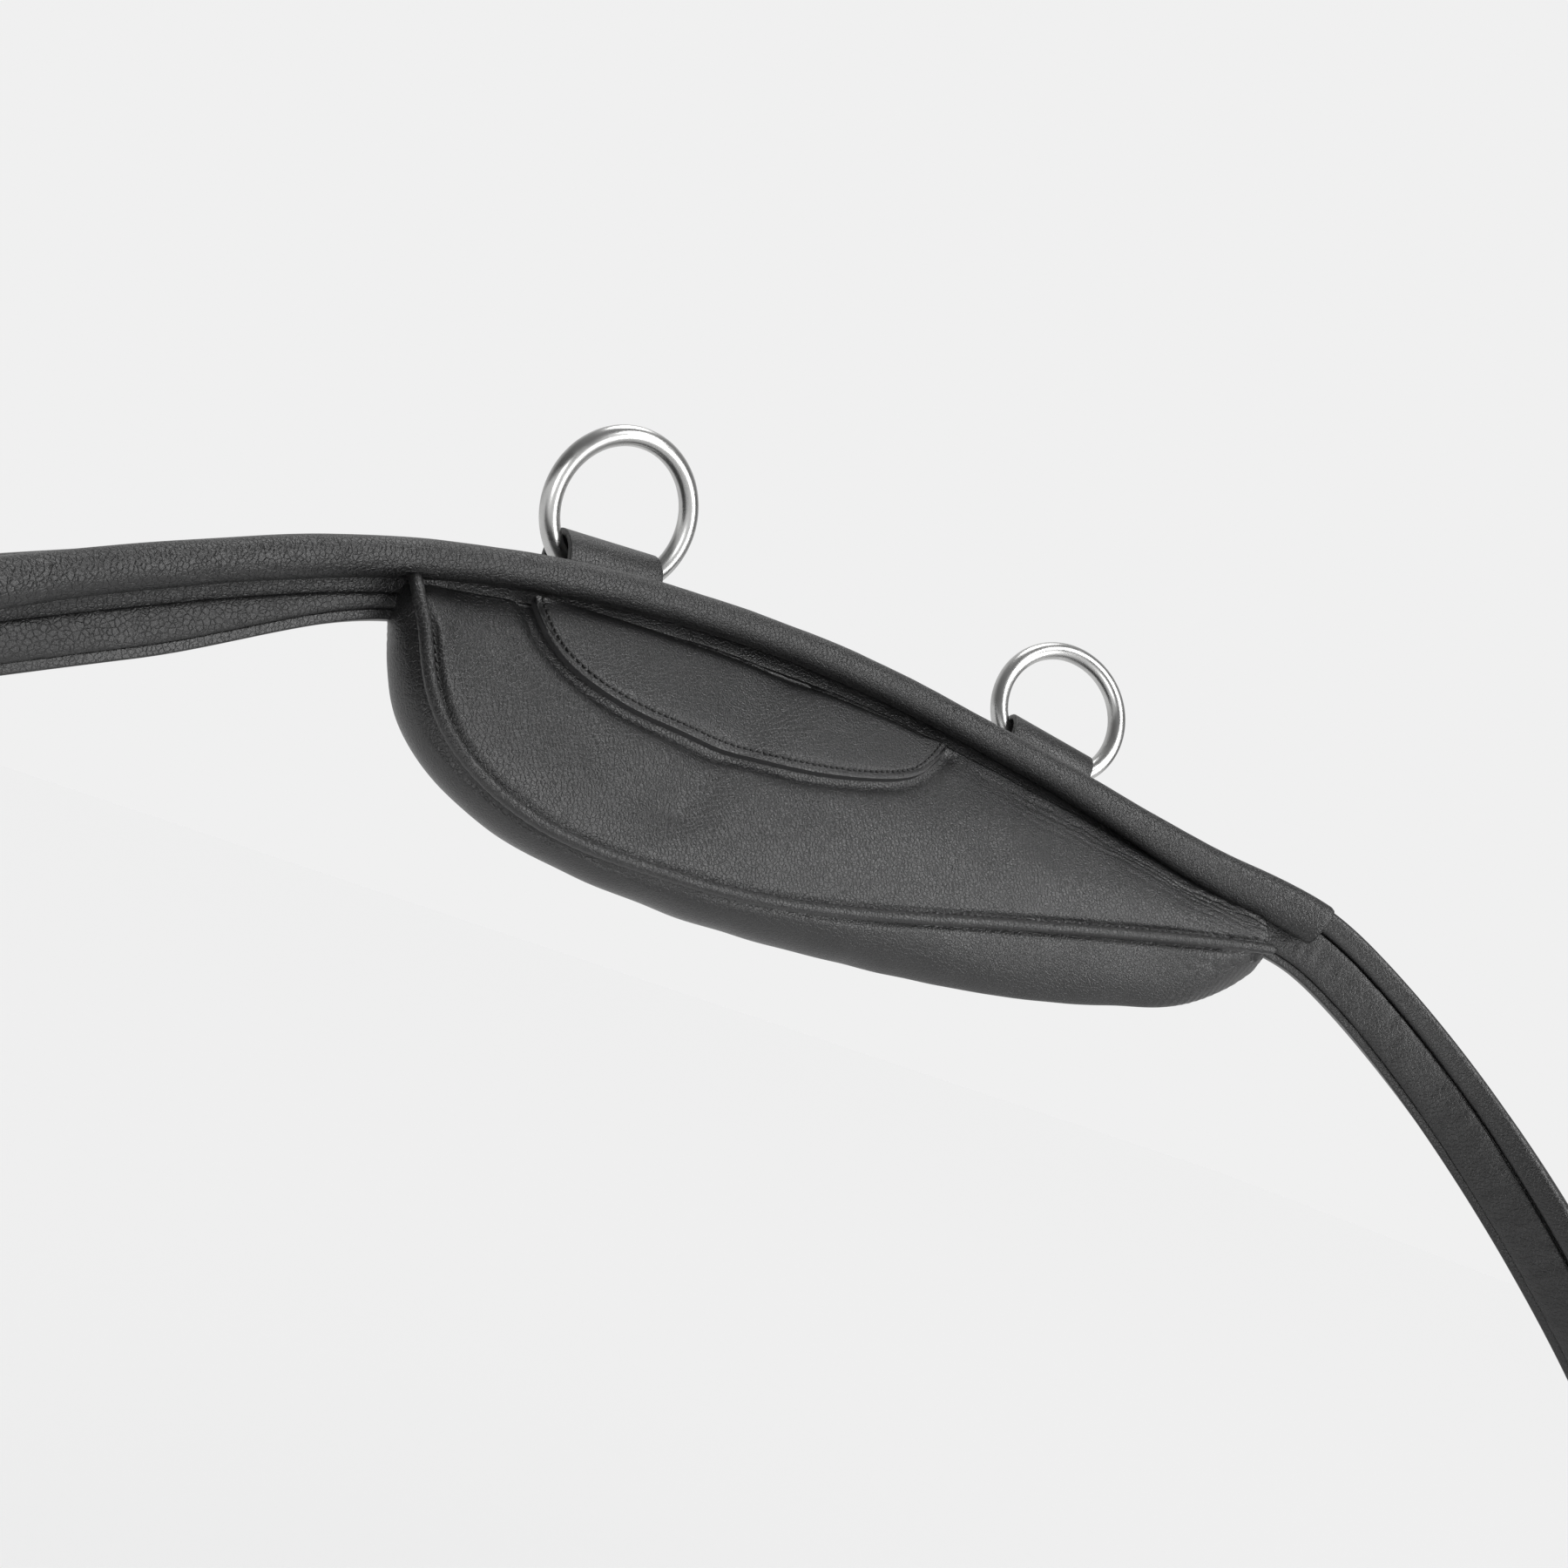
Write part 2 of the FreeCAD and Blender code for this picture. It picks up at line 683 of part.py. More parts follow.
# Height of the billet's middle above the bar: on the strap, over the bar, beyond the buckle.
BILLET_REST = STRAP_OUTER_Z + size("leather_gap") + size("strap_thick") / 2
BILLET_OVER = WRAP_OUTER + 0.25 + size("strap_thick") / 2
BILLET_LEVEL = (STRAP_OUTER_Z + STRAP_INNER_Z) / 2
# The billet runs from its end, up the stretch, to where the chest strap turns away.
BILLET_TOP = -60.0
BILLET_FOOT = size("frame_length") + 13.0


def buckle_matrix(side, place):
    """Local X down the stretch, local Y across the strap, local Z away from the neck."""
    (origin, run, hang, inside), _ = straight_frames(side, place, place + 1)
    centre = origin + hang * STRAP_MIDDLE + inside * BAR_DEPTH
    outside = inside * -1
    across = outside.cross(run)
    return Placement(Matrix(run.x, across.x, outside.x, centre.x,
                            run.y, across.y, outside.y, centre.y,
                            run.z, across.z, outside.z, centre.z,
                            0, 0, 0, 1))


def make_buckle_chape(side):
    """The strap's turned end: a loop round the buckle's bar, slotted for the tongue."""
    body, planes = new_body("buckle_chape_" + SIDE_NAME[side])
    wrap = new_sketch(body, planes, "XZ_Plane", "wrap")
    draw_circle(wrap, WRAP_OUTER)
    pad_feature(body, wrap, "wrap_pad", "Dimensions.strap_width")
    ply = new_sketch(body, planes, "XZ_Plane", "ply")
    face = STRAP_INNER_Z - size("leather_gap")
    draw(ply, [(-TURNED_LENGTH, face - TURNED_PLY), (0, face - TURNED_PLY), (0, face),
               (-TURNED_LENGTH, face)])
    pad_feature(body, ply, "ply_pad", "Dimensions.strap_width")
    doc.recompute()
    bore = new_sketch(body, planes, "XZ_Plane", "bore")
    draw_circle(bore, WRAP_INNER)
    pocket_feature(body, bore, "bar_bore", 3 * size("strap_width"))
    doc.recompute()
    slot = new_sketch(body, planes, "XY_Plane", "slot")
    half = size("tongue_width") / 2 + 2 * size("clearance")
    reach = WRAP_OUTER + 1
    draw(slot, [(-reach, -half), (reach, -half), (reach, half), (-reach, half)])
    pocket_feature(body, slot, "tongue_slot", 4 * WRAP_OUTER)
    body.Placement = buckle_matrix(side, BAR_PLACE)
    SUBPARTS.append(body)


def make_buckle_frame(side):
    """A steel frame that swings on its bar and closes over the billet."""
    body, planes = new_body("buckle_frame_" + SIDE_NAME[side])
    outer = FRAME_INNER + size("frame_side")
    near_end = size("frame_length") - BAR_RADIUS
    far_end = size("frame_length") + BAR_RADIUS
    plate = new_sketch(body, planes, "XY_Plane", "plate")
    draw(plate, [(0, FRAME_INNER), (near_end, FRAME_INNER), (near_end, -FRAME_INNER),
                 (0, -FRAME_INNER), (0, -outer), (far_end, -outer), (far_end, outer), (0, outer)])
    pad_feature(body, plate, "plate_pad", "Dimensions.bar_diameter")
    bar = new_sketch(body, planes, "XZ_Plane", "bar")
    draw_circle(bar, BAR_RADIUS)
    pad_feature(body, bar, "bar_pad", 2 * outer)
    doc.recompute()
    blank = body.Tip
    corners = []
    for number, edge in enumerate(blank.Shape.Edges, start=1):
        middle = edge.BoundBox.Center
        upright = edge.BoundBox.ZLength > BAR_RADIUS and edge.BoundBox.XLength < 0.1
        if upright and middle.x > size("frame_length") and abs(middle.y) > FRAME_INNER + 1:
            corners.append("Edge%d" % number)
    fillet = body.newObject("PartDesign::Fillet", body.Name + "_corners")
    fillet.Base = (blank, corners)
    fillet.Radius = size("frame_side") * 0.8
    body.Tip = fillet
    tilt = Placement(Vector(0, 0, 0), Rotation(Vector(0, 1, 0), -FRAME_TILT))
    body.Placement = buckle_matrix(side, BAR_PLACE).multiply(tilt)
    SUBPARTS.append(body)


def make_tongue(side):
    """The tongue, hinged on the bar, up through the billet's hole and over the far bar."""
    body, planes = new_body("buckle_tongue_" + SIDE_NAME[side])
    thick = size("tongue_thick")
    eye = new_sketch(body, planes, "XZ_Plane", "eye")
    draw_circle(eye, WRAP_OUTER - 0.2)
    pad_feature(body, eye, "eye_pad", "Dimensions.tongue_width")
    # Top of the far bar, as the frame lies tilted over the billet.
    far_top = (size("frame_length") + BAR_RADIUS) * TILT_SIN + BAR_RADIUS * TILT_COS + 0.15
    reach = size("frame_length") + 4
    rise = far_top + 0.2
    arm = new_sketch(body, planes, "XZ_Plane", "arm")
    draw(arm, [(1.2, 2.6), (3.6, 1.0), (rise + 1.6, rise - 0.9), (reach, far_top),
               (reach, far_top + thick), (rise - 0.2, rise + thick)])
    pad_feature(body, arm, "arm_pad", "Dimensions.tongue_width")
    doc.recompute()
    bore = new_sketch(body, planes, "XZ_Plane", "bore")
    draw_circle(bore, WRAP_INNER)
    pocket_feature(body, bore, "bar_bore", 4 * size("tongue_width"))
    body.Placement = buckle_matrix(side, BAR_PLACE)
    SUBPARTS.append(body)


def make_keeper(kind, side):
    """A leather keeper round the strap and the billet that lies on it."""
    body, planes = new_body(kind + "_" + SIDE_NAME[side])
    gap = size("clearance")
    wall = size("keeper_wall")
    half = size("strap_width") / 2 + gap
    low = STRAP_INNER_Z - TURNED_PLY - 2 * size("leather_gap") - gap
    high = BILLET_REST + size("strap_thick") / 2 + gap
    outside = new_sketch(body, planes, "YZ_Plane", "outside")
    draw(outside, [(-half - wall, low - wall), (half + wall, low - wall),
                   (half + wall, high + wall), (-half - wall, high + wall)])
    pad_feature(body, outside, "loop_pad", "Dimensions.keeper_length")
    doc.recompute()
    inside = new_sketch(body, planes, "YZ_Plane", "inside")
    draw(inside, [(-half, low), (half, low), (half, high), (-half, high)])
    pocket_feature(body, inside, "strap_way", 4 * size("keeper_length"))
    body.Placement = buckle_matrix(side, KEEPER_PLACES[kind])
    SUBPARTS.append(body)


HANG_CHEST = Vector(0, 0.75, -0.66)
CHEST_NORMAL = Vector(0, 0.66, 0.75)
# Straight length at the chest end, and how near the ring's wire the strap comes.
CHEST_STRAIGHT = 16.0
CHEST_SHORT = 12.0
# The chest chape's leather and the length of its two sewn plies.
CHEST_PLY = 2.0
CHEST_TAIL = 26.0


def make_billet(side):
    """The strap's tail: over the turned end, through the frame, down to the neck line."""
    half_width = size("strap_width") / 2
    half_thick = size("strap_thick") / 2
    far = size("frame_length")
    under_far_bar = far * TILT_SIN - BAR_RADIUS - 0.9 - half_thick
    heights = [(BILLET_TOP, BILLET_REST), (-45, BILLET_REST), (-32, BILLET_REST),
               (-22, BILLET_REST), (-14, BILLET_REST + 0.2), (-6, BILLET_OVER - 0.1),
               (2, BILLET_OVER), (far * 0.55, BILLET_OVER * 0.72),
               (far, under_far_bar), (BILLET_FOOT, BILLET_LEVEL)]
    edges = []
    for lift in (-half_thick, half_thick):
        edge = Part.BSplineCurve()
        edge.interpolate([Vector(along, -half_width, height + lift) for along, height in heights])
        edges.append(edge)
    low, high = edges
    profile = Part.Wire([low.toShape(), Part.LineSegment(low.EndPoint, high.EndPoint).toShape(),
                         high.toShape(), Part.LineSegment(high.StartPoint, low.StartPoint).toShape()])
    billet = Part.Face(profile).extrude(Vector(0, 2 * half_width, 0))
    hole = size("hole_diameter")
    # The tongue's hole is worn long; the spare hole lies between the two keepers.
    worn = Part.makeBox(2.1 * hole, hole, 20, Vector(1.2, -hole / 2, 0))
    spare = Part.makeCylinder(hole / 2, 20, Vector(-1.5 * size("hole_pitch"), 0, 0))
    billet = billet.cut(worn).cut(spare)
    billet.Placement = buckle_matrix(side, BAR_PLACE)
    return billet


def make_chest_strap(side):
    """Billet through the buckle, then the strap under the neck to the chest ring."""
    half_width = size("strap_width") / 2
    half_thick = size("strap_thick") / 2
    begin = buckle_matrix(side, BAR_PLACE).multVec(Vector(BILLET_FOOT, 0, BILLET_LEVEL))
    points = [begin - STRETCH_RUN[side] * RUN_ON / 2, begin]
    for x, reach, height in CHEST[:-1]:
        place = side_point(side * x, reach, height)
        points.append(place + chest_shift())
    ring_centre, along, hang, normal = chest_frame()
    near_ring = (size("chest_ring_outer") - size("chest_ring_wire")) / 2 + CHEST_SHORT
    end = ring_centre + along * side * (near_ring + CHEST_STRAIGHT)
    points += [end, end - along * side * RUN_ON / 2, end - along * side * RUN_ON]
    line = Line(points, [(begin, HANG_SIDE), (end, HANG_CHEST)], side)
    frames = frames_between(line, line.parameter(begin), line.parameter(end), 11)
    strap = band(frames, -half_width, half_width, -half_thick, half_thick)
    last = [(end - along * side * step, along, hang, normal) for step in (0, CHEST_STRAIGHT)]
    straight = band(last, -half_width, half_width, -half_thick, half_thick)
    add_shape("chest_strap_" + SIDE_NAME[side], strap.fuse(straight).fuse(make_billet(side)))


STRETCH_RUN = {-1: LEFT_RUN, 1: RIGHT_RUN}


def chest_shift():
    """From the neck line to the middle of the strap's section under the neck."""
    return HANG_CHEST * STRAP_MIDDLE + CHEST_NORMAL * ((STRAP_BACK + STRAP_FACE) / 2)


def chest_frame():
    """Chest ring's centre, the strap's run there, its width direction and its normal."""
    hang = Vector(HANG_CHEST)
    hang.normalize()
    return side_point(*CHEST[-1]) + chest_shift(), Vector(1, 0, 0), hang, Vector(0, -hang.z, hang.y)


def make_chest_ring():
    """The ring under the chest that takes the girth strap or a fork."""
    centre, along, hang, _ = chest_frame()
    ring = doc.addObject("Part::Torus", "chest_ring")
    ring.Label = "chest_ring"
    ring.setExpression("Radius1", "(Dimensions.chest_ring_outer - Dimensions.chest_ring_wire) / 2")
    ring.setExpression("Radius2", "Dimensions.chest_ring_wire / 2")
    ring.Placement = orient(centre, along, hang)
    SUBPARTS.append(ring)


def make_chest_chape(side):
    """The loop that closes each chest strap round the chest ring."""
    centre, along, hang, _ = chest_frame()
    mean = (size("chest_ring_outer") - size("chest_ring_wire")) / 2
    groove = size("chest_ring_wire") / 2 + size("clearance")
    wall = groove + CHEST_PLY
    width = size("strap_width")
    inner = size("strap_thick") / 2 + 2 * size("leather_gap")
    loop = Part.makeCylinder(wall, width, Vector(mean - 1, -width / 2, 0), Vector(0, 1, 0))
    tail = Part.makeBox(CHEST_TAIL, width, 2 * (inner + CHEST_PLY),
                        Vector(mean - 1, -width / 2, -inner - CHEST_PLY))
    mouth = Part.makeBox(2 * CHEST_TAIL, 2 * width, 2 * inner,
                         Vector(mean + CHEST_SHORT - 0.4, -width, -inner))
    solid = loop.fuse(tail).cut(mouth).cut(Part.makeTorus(mean, groove))
    solid.Placement = orient(centre, along * side, hang * side)
    add_shape("chest_chape_" + SIDE_NAME[side], solid)


make_neck_strap()
make_roll()
make_linings()
make_front_panel()
make_back_panel()
make_filling()
make_gusset()
make_welt()
make_patch()
for end in ("left", "right"):
    make_ring_chape(end)
    make_ring(end)
for end in (-1, 1):
    make_buckle_chape(end)
    make_buckle_frame(end)
    make_tongue(end)
    for kind in KEEPER_PLACES:
        make_keeper(kind, end)
    make_chest_strap(end)
    make_chest_chape(end)
make_chest_ring()
doc.recompute()

os.makedirs("parts", exist_ok=True)
for item in doc.Objects:
    if "Invalid" in item.State or "Error" in item.State:
        raise RuntimeError("%s did not recompute: %s" % (item.Label, item.State))
for item in SUBPARTS:
    if item.Shape.isNull() or not item.Shape.isValid():
        raise RuntimeError("%s has no valid shape" % item.Label)
for item in SUBPARTS:
    item.Shape.exportStep("parts/%s.step" % item.Label)
    box = item.Shape.BoundBox
    print("%-22s solids %d volume %9.1f  x %7.1f %7.1f  y %7.1f %7.1f  z %7.1f %7.1f" % (
        item.Label, len(item.Shape.Solids), item.Shape.Volume, box.XMin, box.XMax, box.YMin,
        box.YMax, box.ZMin, box.ZMax))
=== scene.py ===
"""Leather neck strap of a martingale: soft leather, padding, stitching and polished fittings.

Lengths in the shape code are millimetres, in the frame of the loaded model, and become metres
when a mesh is made. +X runs to the right seen from inside the loop, +Z up, -Y into the loop.
"""
import math

import bmesh
import bpy
import numpy as np
from bpy.props import FloatProperty, IntProperty, StringProperty
from mathutils import Matrix, Vector, noise
from mathutils.bvhtree import BVHTree


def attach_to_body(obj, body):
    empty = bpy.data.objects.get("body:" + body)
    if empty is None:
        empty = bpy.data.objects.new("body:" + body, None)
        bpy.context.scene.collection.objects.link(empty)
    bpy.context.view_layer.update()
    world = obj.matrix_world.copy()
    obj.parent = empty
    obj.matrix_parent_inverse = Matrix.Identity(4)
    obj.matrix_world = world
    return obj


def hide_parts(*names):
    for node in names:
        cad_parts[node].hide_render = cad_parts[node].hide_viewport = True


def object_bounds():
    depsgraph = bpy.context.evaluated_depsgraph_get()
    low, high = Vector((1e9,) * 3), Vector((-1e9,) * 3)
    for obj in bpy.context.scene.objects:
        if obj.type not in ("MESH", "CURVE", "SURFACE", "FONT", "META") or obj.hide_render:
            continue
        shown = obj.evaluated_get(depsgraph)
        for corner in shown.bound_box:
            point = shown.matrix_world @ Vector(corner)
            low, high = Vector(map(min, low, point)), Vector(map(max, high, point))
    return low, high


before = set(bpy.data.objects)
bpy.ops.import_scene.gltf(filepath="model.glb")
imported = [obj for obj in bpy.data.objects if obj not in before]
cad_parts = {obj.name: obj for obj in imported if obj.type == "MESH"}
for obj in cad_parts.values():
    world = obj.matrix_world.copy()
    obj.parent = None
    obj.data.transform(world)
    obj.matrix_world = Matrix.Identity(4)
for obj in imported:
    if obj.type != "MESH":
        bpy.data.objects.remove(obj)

bl_info = {
    "name": "Martingale Neck Strap",
    "version": (1, 0, 0),
    "blender": (4, 5, 0),
    "location": "3D View > Sidebar > Neck Strap",
    "description": "Dresses a martingale neck strap in leather, padding, stitching and steel",
    "category": "Object",
}

CAD_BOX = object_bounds()
MM = 0.001
LEATHERWORK = "leatherwork"
SIDES = ("left", "right")


# ---------------------------------------------------------------- sizes and finishes

class StrapSizes(bpy.types.PropertyGroup):
    """Sizes of the neck strap, in millimetres."""
    width: FloatProperty(name="Width", description="Strap width", default=20.0)
    thick: FloatProperty(name="Thickness", description="Strap leather thickness", default=3.2)
    roll_height: FloatProperty(name="Roll height", description="Height of the roll", default=8.6)
    roll_depth: FloatProperty(name="Roll depth", description="Depth of the roll", default=8.6)
    roll_end: FloatProperty(name="Roll end", description="Roll's cut end from middle", default=145.0)
    margin: FloatProperty(name="Margin", description="Sewn margin under the roll", default=3.2)


class PadSizes(bpy.types.PropertyGroup):
    """Sizes of the wither pad, in millimetres."""
    bow: FloatProperty(name="Bow radius", description="Curve across the neck", default=330.0)
    tilt: FloatProperty(name="Tilt", description="Lean of the front panel, degrees", default=29.0)
    depth: FloatProperty(name="Depth", description="Thickness of the pad", default=17.0)
    crown: FloatProperty(name="Crown", description="Rise of the front panel", default=3.2)
    piping: FloatProperty(name="Piping", description="Piping diameter", default=2.9)
    patch: FloatProperty(name="Patch", description="Patch leather thickness", default=1.5)
    puff: FloatProperty(name="Puff", description="Furthest a point may swell", default=2.5)


class StitchSizes(bpy.types.PropertyGroup):
    """Sizes of the sewing, in millimetres."""
    thread: FloatProperty(name="Thread", description="Thread thickness", default=0.65)
    pitch: FloatProperty(name="Pitch", description="Stitch to stitch on seams", default=2.0)
    fine: FloatProperty(name="Fine pitch", description="Stitch to stitch on the patch", default=1.7)
    seed: IntProperty(name="Seed", description="Seed of the small unevenness", default=7)


class Finishes(bpy.types.PropertyGroup):
    """Colours, as sRGB hex."""
    nappa: StringProperty(name="Nappa", description="Soft leather", default="#0E0E0F")
    firm: StringProperty(name="Firm leather", description="Strap leather", default="#101011")
    edge: StringProperty(name="Cut edge", description="Raw edge", default="#333334")
    thread: StringProperty(name="Thread", description="Thread", default="#070707")
    steel: StringProperty(name="Steel", description="Polished steel", default="#BDBDBC")
    paper: StringProperty(name="Backdrop", description="Floor and backdrop", default="#F0F0F0")


def strap():
    return bpy.context.scene.neck_strap_sizes


def pad():
    return bpy.context.scene.wither_pad_sizes


def stitching():
    return bpy.context.scene.stitch_sizes


def finishes():
    return bpy.context.scene.leather_finishes


# ---------------------------------------------------------------- lines and frames

class Spline:
    """A natural cubic spline through points, measured along its chords."""

    def __init__(self, points):
        self.points = np.array(points, float)
        steps = np.linalg.norm(np.diff(self.points, axis=0), axis=1)
        self.marks = np.concatenate([[0.0], np.cumsum(steps)])
        count = len(self.points)
        matrix = np.eye(count)
        right = np.zeros_like(self.points)
        for k in range(1, count - 1):
            before, after = steps[k - 1], steps[k]
            matrix[k, k - 1:k + 2] = before, 2 * (before + after), after
            right[k] = 6 * ((self.points[k + 1] - self.points[k]) / after
                            - (self.points[k] - self.points[k - 1]) / before)
        self.bend = np.linalg.solve(matrix, right)

    def at(self, u):
        """Points and unit tangents at measures u along the chords."""
        u = np.atleast_1d(np.asarray(u, float))
        k = np.clip(np.searchsorted(self.marks, u, side="right") - 1, 0, len(self.points) - 2)
        span = (self.marks[k + 1] - self.marks[k])[:, None]
        far = (u - self.marks[k])[:, None] / span
        near = 1 - far
        low, high = self.bend[k] * span ** 2 / 6, self.bend[k + 1] * span ** 2 / 6
        place = (near * self.points[k] + far * self.points[k + 1]
                 + (near ** 3 - near) * low + (far ** 3 - far) * high)
        slope = (self.points[k + 1] - self.points[k]
                 + (1 - 3 * near ** 2) * low + (3 * far ** 2 - 1) * high)
        return place, unit(slope)

    def even(self, step):
        """Measures about one step apart, from end to end."""
        count = max(2, int(round(self.marks[-1] / step)) + 1)
        return np.linspace(0, self.marks[-1], count)


def unit(vectors):
    return vectors / np.linalg.norm(vectors, axis=-1, keepdims=True)


# Centre of the roll over the withers, (x, height) on the bow of the neck.
ARCH = [(-150, -20), (-121, -3), (-95, 8), (-64, 17), (-28, 23), (5, 24.8),
        (39, 22.9), (80, 17.7), (120, 11.7), (145, 7.5), (158, 1.0)]
LEFT_SIDE = [(-204, -82, -70), (-182, -55, -44)]
RIGHT_SIDE = [(180, -51, -17), (204, -80, -57)]
STRETCH_TOP = np.array([214.0, -110.0, -100.0])
STRETCH_FOOT = np.array([198.0, -186.0, -200.0])
STRETCH_USED = 66.0
HANG_SIDE = (0, 0.79, -0.61)
HANG_LEFT = (0.30, 0.05, -0.95)
HANG_MIDDLE = (0, -0.25, -0.97)
HANG_RIGHT = (-0.31, 0.27, -0.92)


def arch_point(x, height):
    return (x, -x ** 2 / (2 * pad().bow), height)


class NeckLine:
    """The roll's centre line with the strap's width and inward directions along it."""

    def __init__(self):
        mirror = np.array([-1.0, 1.0, 1.0])
        down = (STRETCH_FOOT - STRETCH_TOP) / np.linalg.norm(STRETCH_FOOT - STRETCH_TOP)
        ends = [STRETCH_TOP + down * step for step in (0, 22, 44, STRETCH_USED)]
        arch = [arch_point(*p) for p in ARCH]
        points = [end * mirror for end in reversed(ends)] + LEFT_SIDE + arch + RIGHT_SIDE + ends
        self.spline = Spline(points)
        first = len(ends) + len(LEFT_SIDE)
        places = [3, first, first + 3, first + 7, first + 10, len(points) - 4]
        hangs = [HANG_SIDE, HANG_LEFT, HANG_MIDDLE, HANG_MIDDLE, HANG_RIGHT, HANG_SIDE]
        self.width_marks = self.spline.marks[places]
        self.hangs = np.array(hangs, float)
        self.length = self.spline.marks[-1]

    def frames(self, u):
        place, run = self.spline.at(u)
        marks = self.width_marks
        u = np.clip(np.atleast_1d(u), marks[0], marks[-1])
        k = np.clip(np.searchsorted(marks, u, side="right") - 1, 0, len(marks) - 2)
        share = (u - marks[k]) / (marks[k + 1] - marks[k])
        ease = (share * share * (3 - 2 * share))[:, None]
        hang = self.hangs[k] * (1 - ease) + self.hangs[k + 1] * ease
        hang = unit(hang - run * np.sum(hang * run, axis=1, keepdims=True))
        return place, run, hang, np.cross(hang, run)

    def measure_at(self, x):
        """Measures along the line where it passes given values of x, over the withers."""
        u = np.linspace(self.width_marks[0], self.width_marks[-1], 1200)
        return np.interp(x, self.spline.at(u)[0][:, 0], u)

    def centre(self, x):
        return self.spline.at(self.measure_at(x))[0]


def narrowing(frames):
    """How much narrower the strap is cut beside the pad's left end."""
    x, z = frames[0][:, 0], frames[0][:, 2]
    share = np.clip((x + 158) / 42, 0, 1) * (z > -60) * np.clip((-70 - x) / 25, 0, 1)
    return 4.0 * share * share * (3 - 2 * share)


def place_profile(frames, profile):
    """Vertices of a profile of (down, inward) pairs at each frame: stations by profile points."""
    place, _, hang, inward = frames
    profile = np.asarray(profile, float)
    if profile.ndim == 2:
        profile = np.broadcast_to(profile, (len(place),) + profile.shape)
    return (place[:, None] + hang[:, None] * profile[..., :1]
            + inward[:, None] * profile[..., 1:])


def rounded_box(low, high, back, front, radius, cells=8):
    """Closed profile of a flat strip: from low to high down its width, rounded at its edges."""
    corners = [(high - radius, front - radius, 0), (high - radius, back + radius, -90),
               (low + radius, back + radius, -180), (low + radius, front - radius, -270)]
    points = []
    for index, (down, inward, start) in enumerate(corners):
        for step in range(4):
            angle = math.radians(start + 90 - 30 * step)
            points.append((down + radius * math.cos(angle), inward + radius * math.sin(angle)))
        if index in (1, 3):
            nearer = (low + radius, back) if index == 1 else (high - radius, front)
            last = points[-1]
            for step in range(1, cells):
                share = step / cells
                points.append((last[0] + (nearer[0] - last[0]) * share, last[1]))
    return points


# ---------------------------------------------------------------- meshes

def grid_faces(rows, columns, first=0, close=False):
    """Quads of a grid of vertices stored row by row; close joins the last column to the first."""
    faces = []
    for row in range(rows - 1):
        for column in range(columns if close else columns - 1):
            after = (column + 1) % columns
            here, above = first + row * columns, first + (row + 1) * columns
            faces.append((here + column, here + after, above + after, above + column))
    return faces


def new_piece(name, points, faces, material, smooth=True):
    """A mesh object from millimetre points, its normals turned outwards."""
    mesh = bpy.data.meshes.new(name)
    mesh.from_pydata((np.asarray(points, float) * MM).tolist(), [], faces)
    work = bmesh.new()
    work.from_mesh(mesh)
    bmesh.ops.recalc_face_normals(work, faces=work.faces)
    work.to_mesh(mesh)
    work.free()
    mesh.polygons.foreach_set("use_smooth", [smooth] * len(mesh.polygons))
    piece = bpy.data.objects.new(name, mesh)
    bpy.context.scene.collection.objects.link(piece)
    mesh.materials.append(material)
    return piece


def sweep(name, frames, profile, material):
    """A closed tube or strip: a profile carried along frames, with its ends capped."""
    points = place_profile(frames, profile)
    stations, count = points.shape[:2]
    faces = grid_faces(stations, count, close=True)
    faces.append(tuple(range(count)))
    faces.append(tuple((stations - 1) * count + k for k in range(count)))
    return new_piece(name, points.reshape(-1, 3), faces, material)


def finish_modifiers(piece):
    """Turns a piece's modifiers into plain mesh."""
    depsgraph = bpy.context.evaluated_depsgraph_get()
    mesh = bpy.data.meshes.new_from_object(piece.evaluated_get(depsgraph))
    piece.modifiers.clear()
    piece.data = mesh
    return piece


def refine(node, name, material, bevel):
    """A CAD node's solid as a piece of its own, merged, with its sharp edges rounded."""
    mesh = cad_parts[node].data.copy()
    work = bmesh.new()
    work.from_mesh(mesh)
    bmesh.ops.remove_doubles(work, verts=work.verts, dist=1e-6)
    bmesh.ops.dissolve_limit(work, angle_limit=math.radians(1.0), verts=work.verts,
                             edges=work.edges)
    work.to_mesh(mesh)
    work.free()
    mesh.materials.clear()
    mesh.materials.append(material)
    piece = bpy.data.objects.new(name, mesh)
    bpy.context.scene.collection.objects.link(piece)
    rounding = piece.modifiers.new("Rounded edges", "BEVEL")
    rounding.width = bevel * MM
    rounding.segments = 3
    rounding.limit_method = "ANGLE"
    rounding.angle_limit = math.radians(35)
    rounding.use_clamp_overlap = True
    rounding.harden_normals = False
    finish_modifiers(piece)
    piece.data.shade_smooth()
    piece.data.set_sharp_from_angle(angle=math.radians(50))
    return piece


def crease(point, scale, stretch=(1, 1, 1), seed=0.0):
    """Thin valley lines of folded leather: 0 on smooth leather, 1 at the bottom of a fold."""
    place = Vector((point[0] * stretch[0], point[1] * stretch[1], point[2] * stretch[2]))
    value = noise.noise(place / scale + Vector((seed, seed * 0.7, -seed)))
    return max(0.0, 1 - abs(value) * 7) ** 2


# ---------------------------------------------------------------- materials

def linear(code):
    """Linear colour of an sRGB hex code."""
    parts = [int(code[k:k + 2], 16) / 255 for k in (1, 3, 5)]
    return [c / 12.92 if c <= 0.04045 else ((c + 0.055) / 1.055) ** 2.4 for c in parts] + [1.0]


def add_node(tree, kind, settings=None, inputs=None, links=None):
    """Adds a node, with its settings, its input values and its links from other sockets."""
    made = tree.nodes.new(kind)
    for key, value in (settings or {}).items():
        setattr(made, key, value)
    for key, value in (inputs or {}).items():
        made.inputs[key].default_value = value
    for key, socket in (links or {}).items():
        tree.links.new(socket, made.inputs[key])
    return made


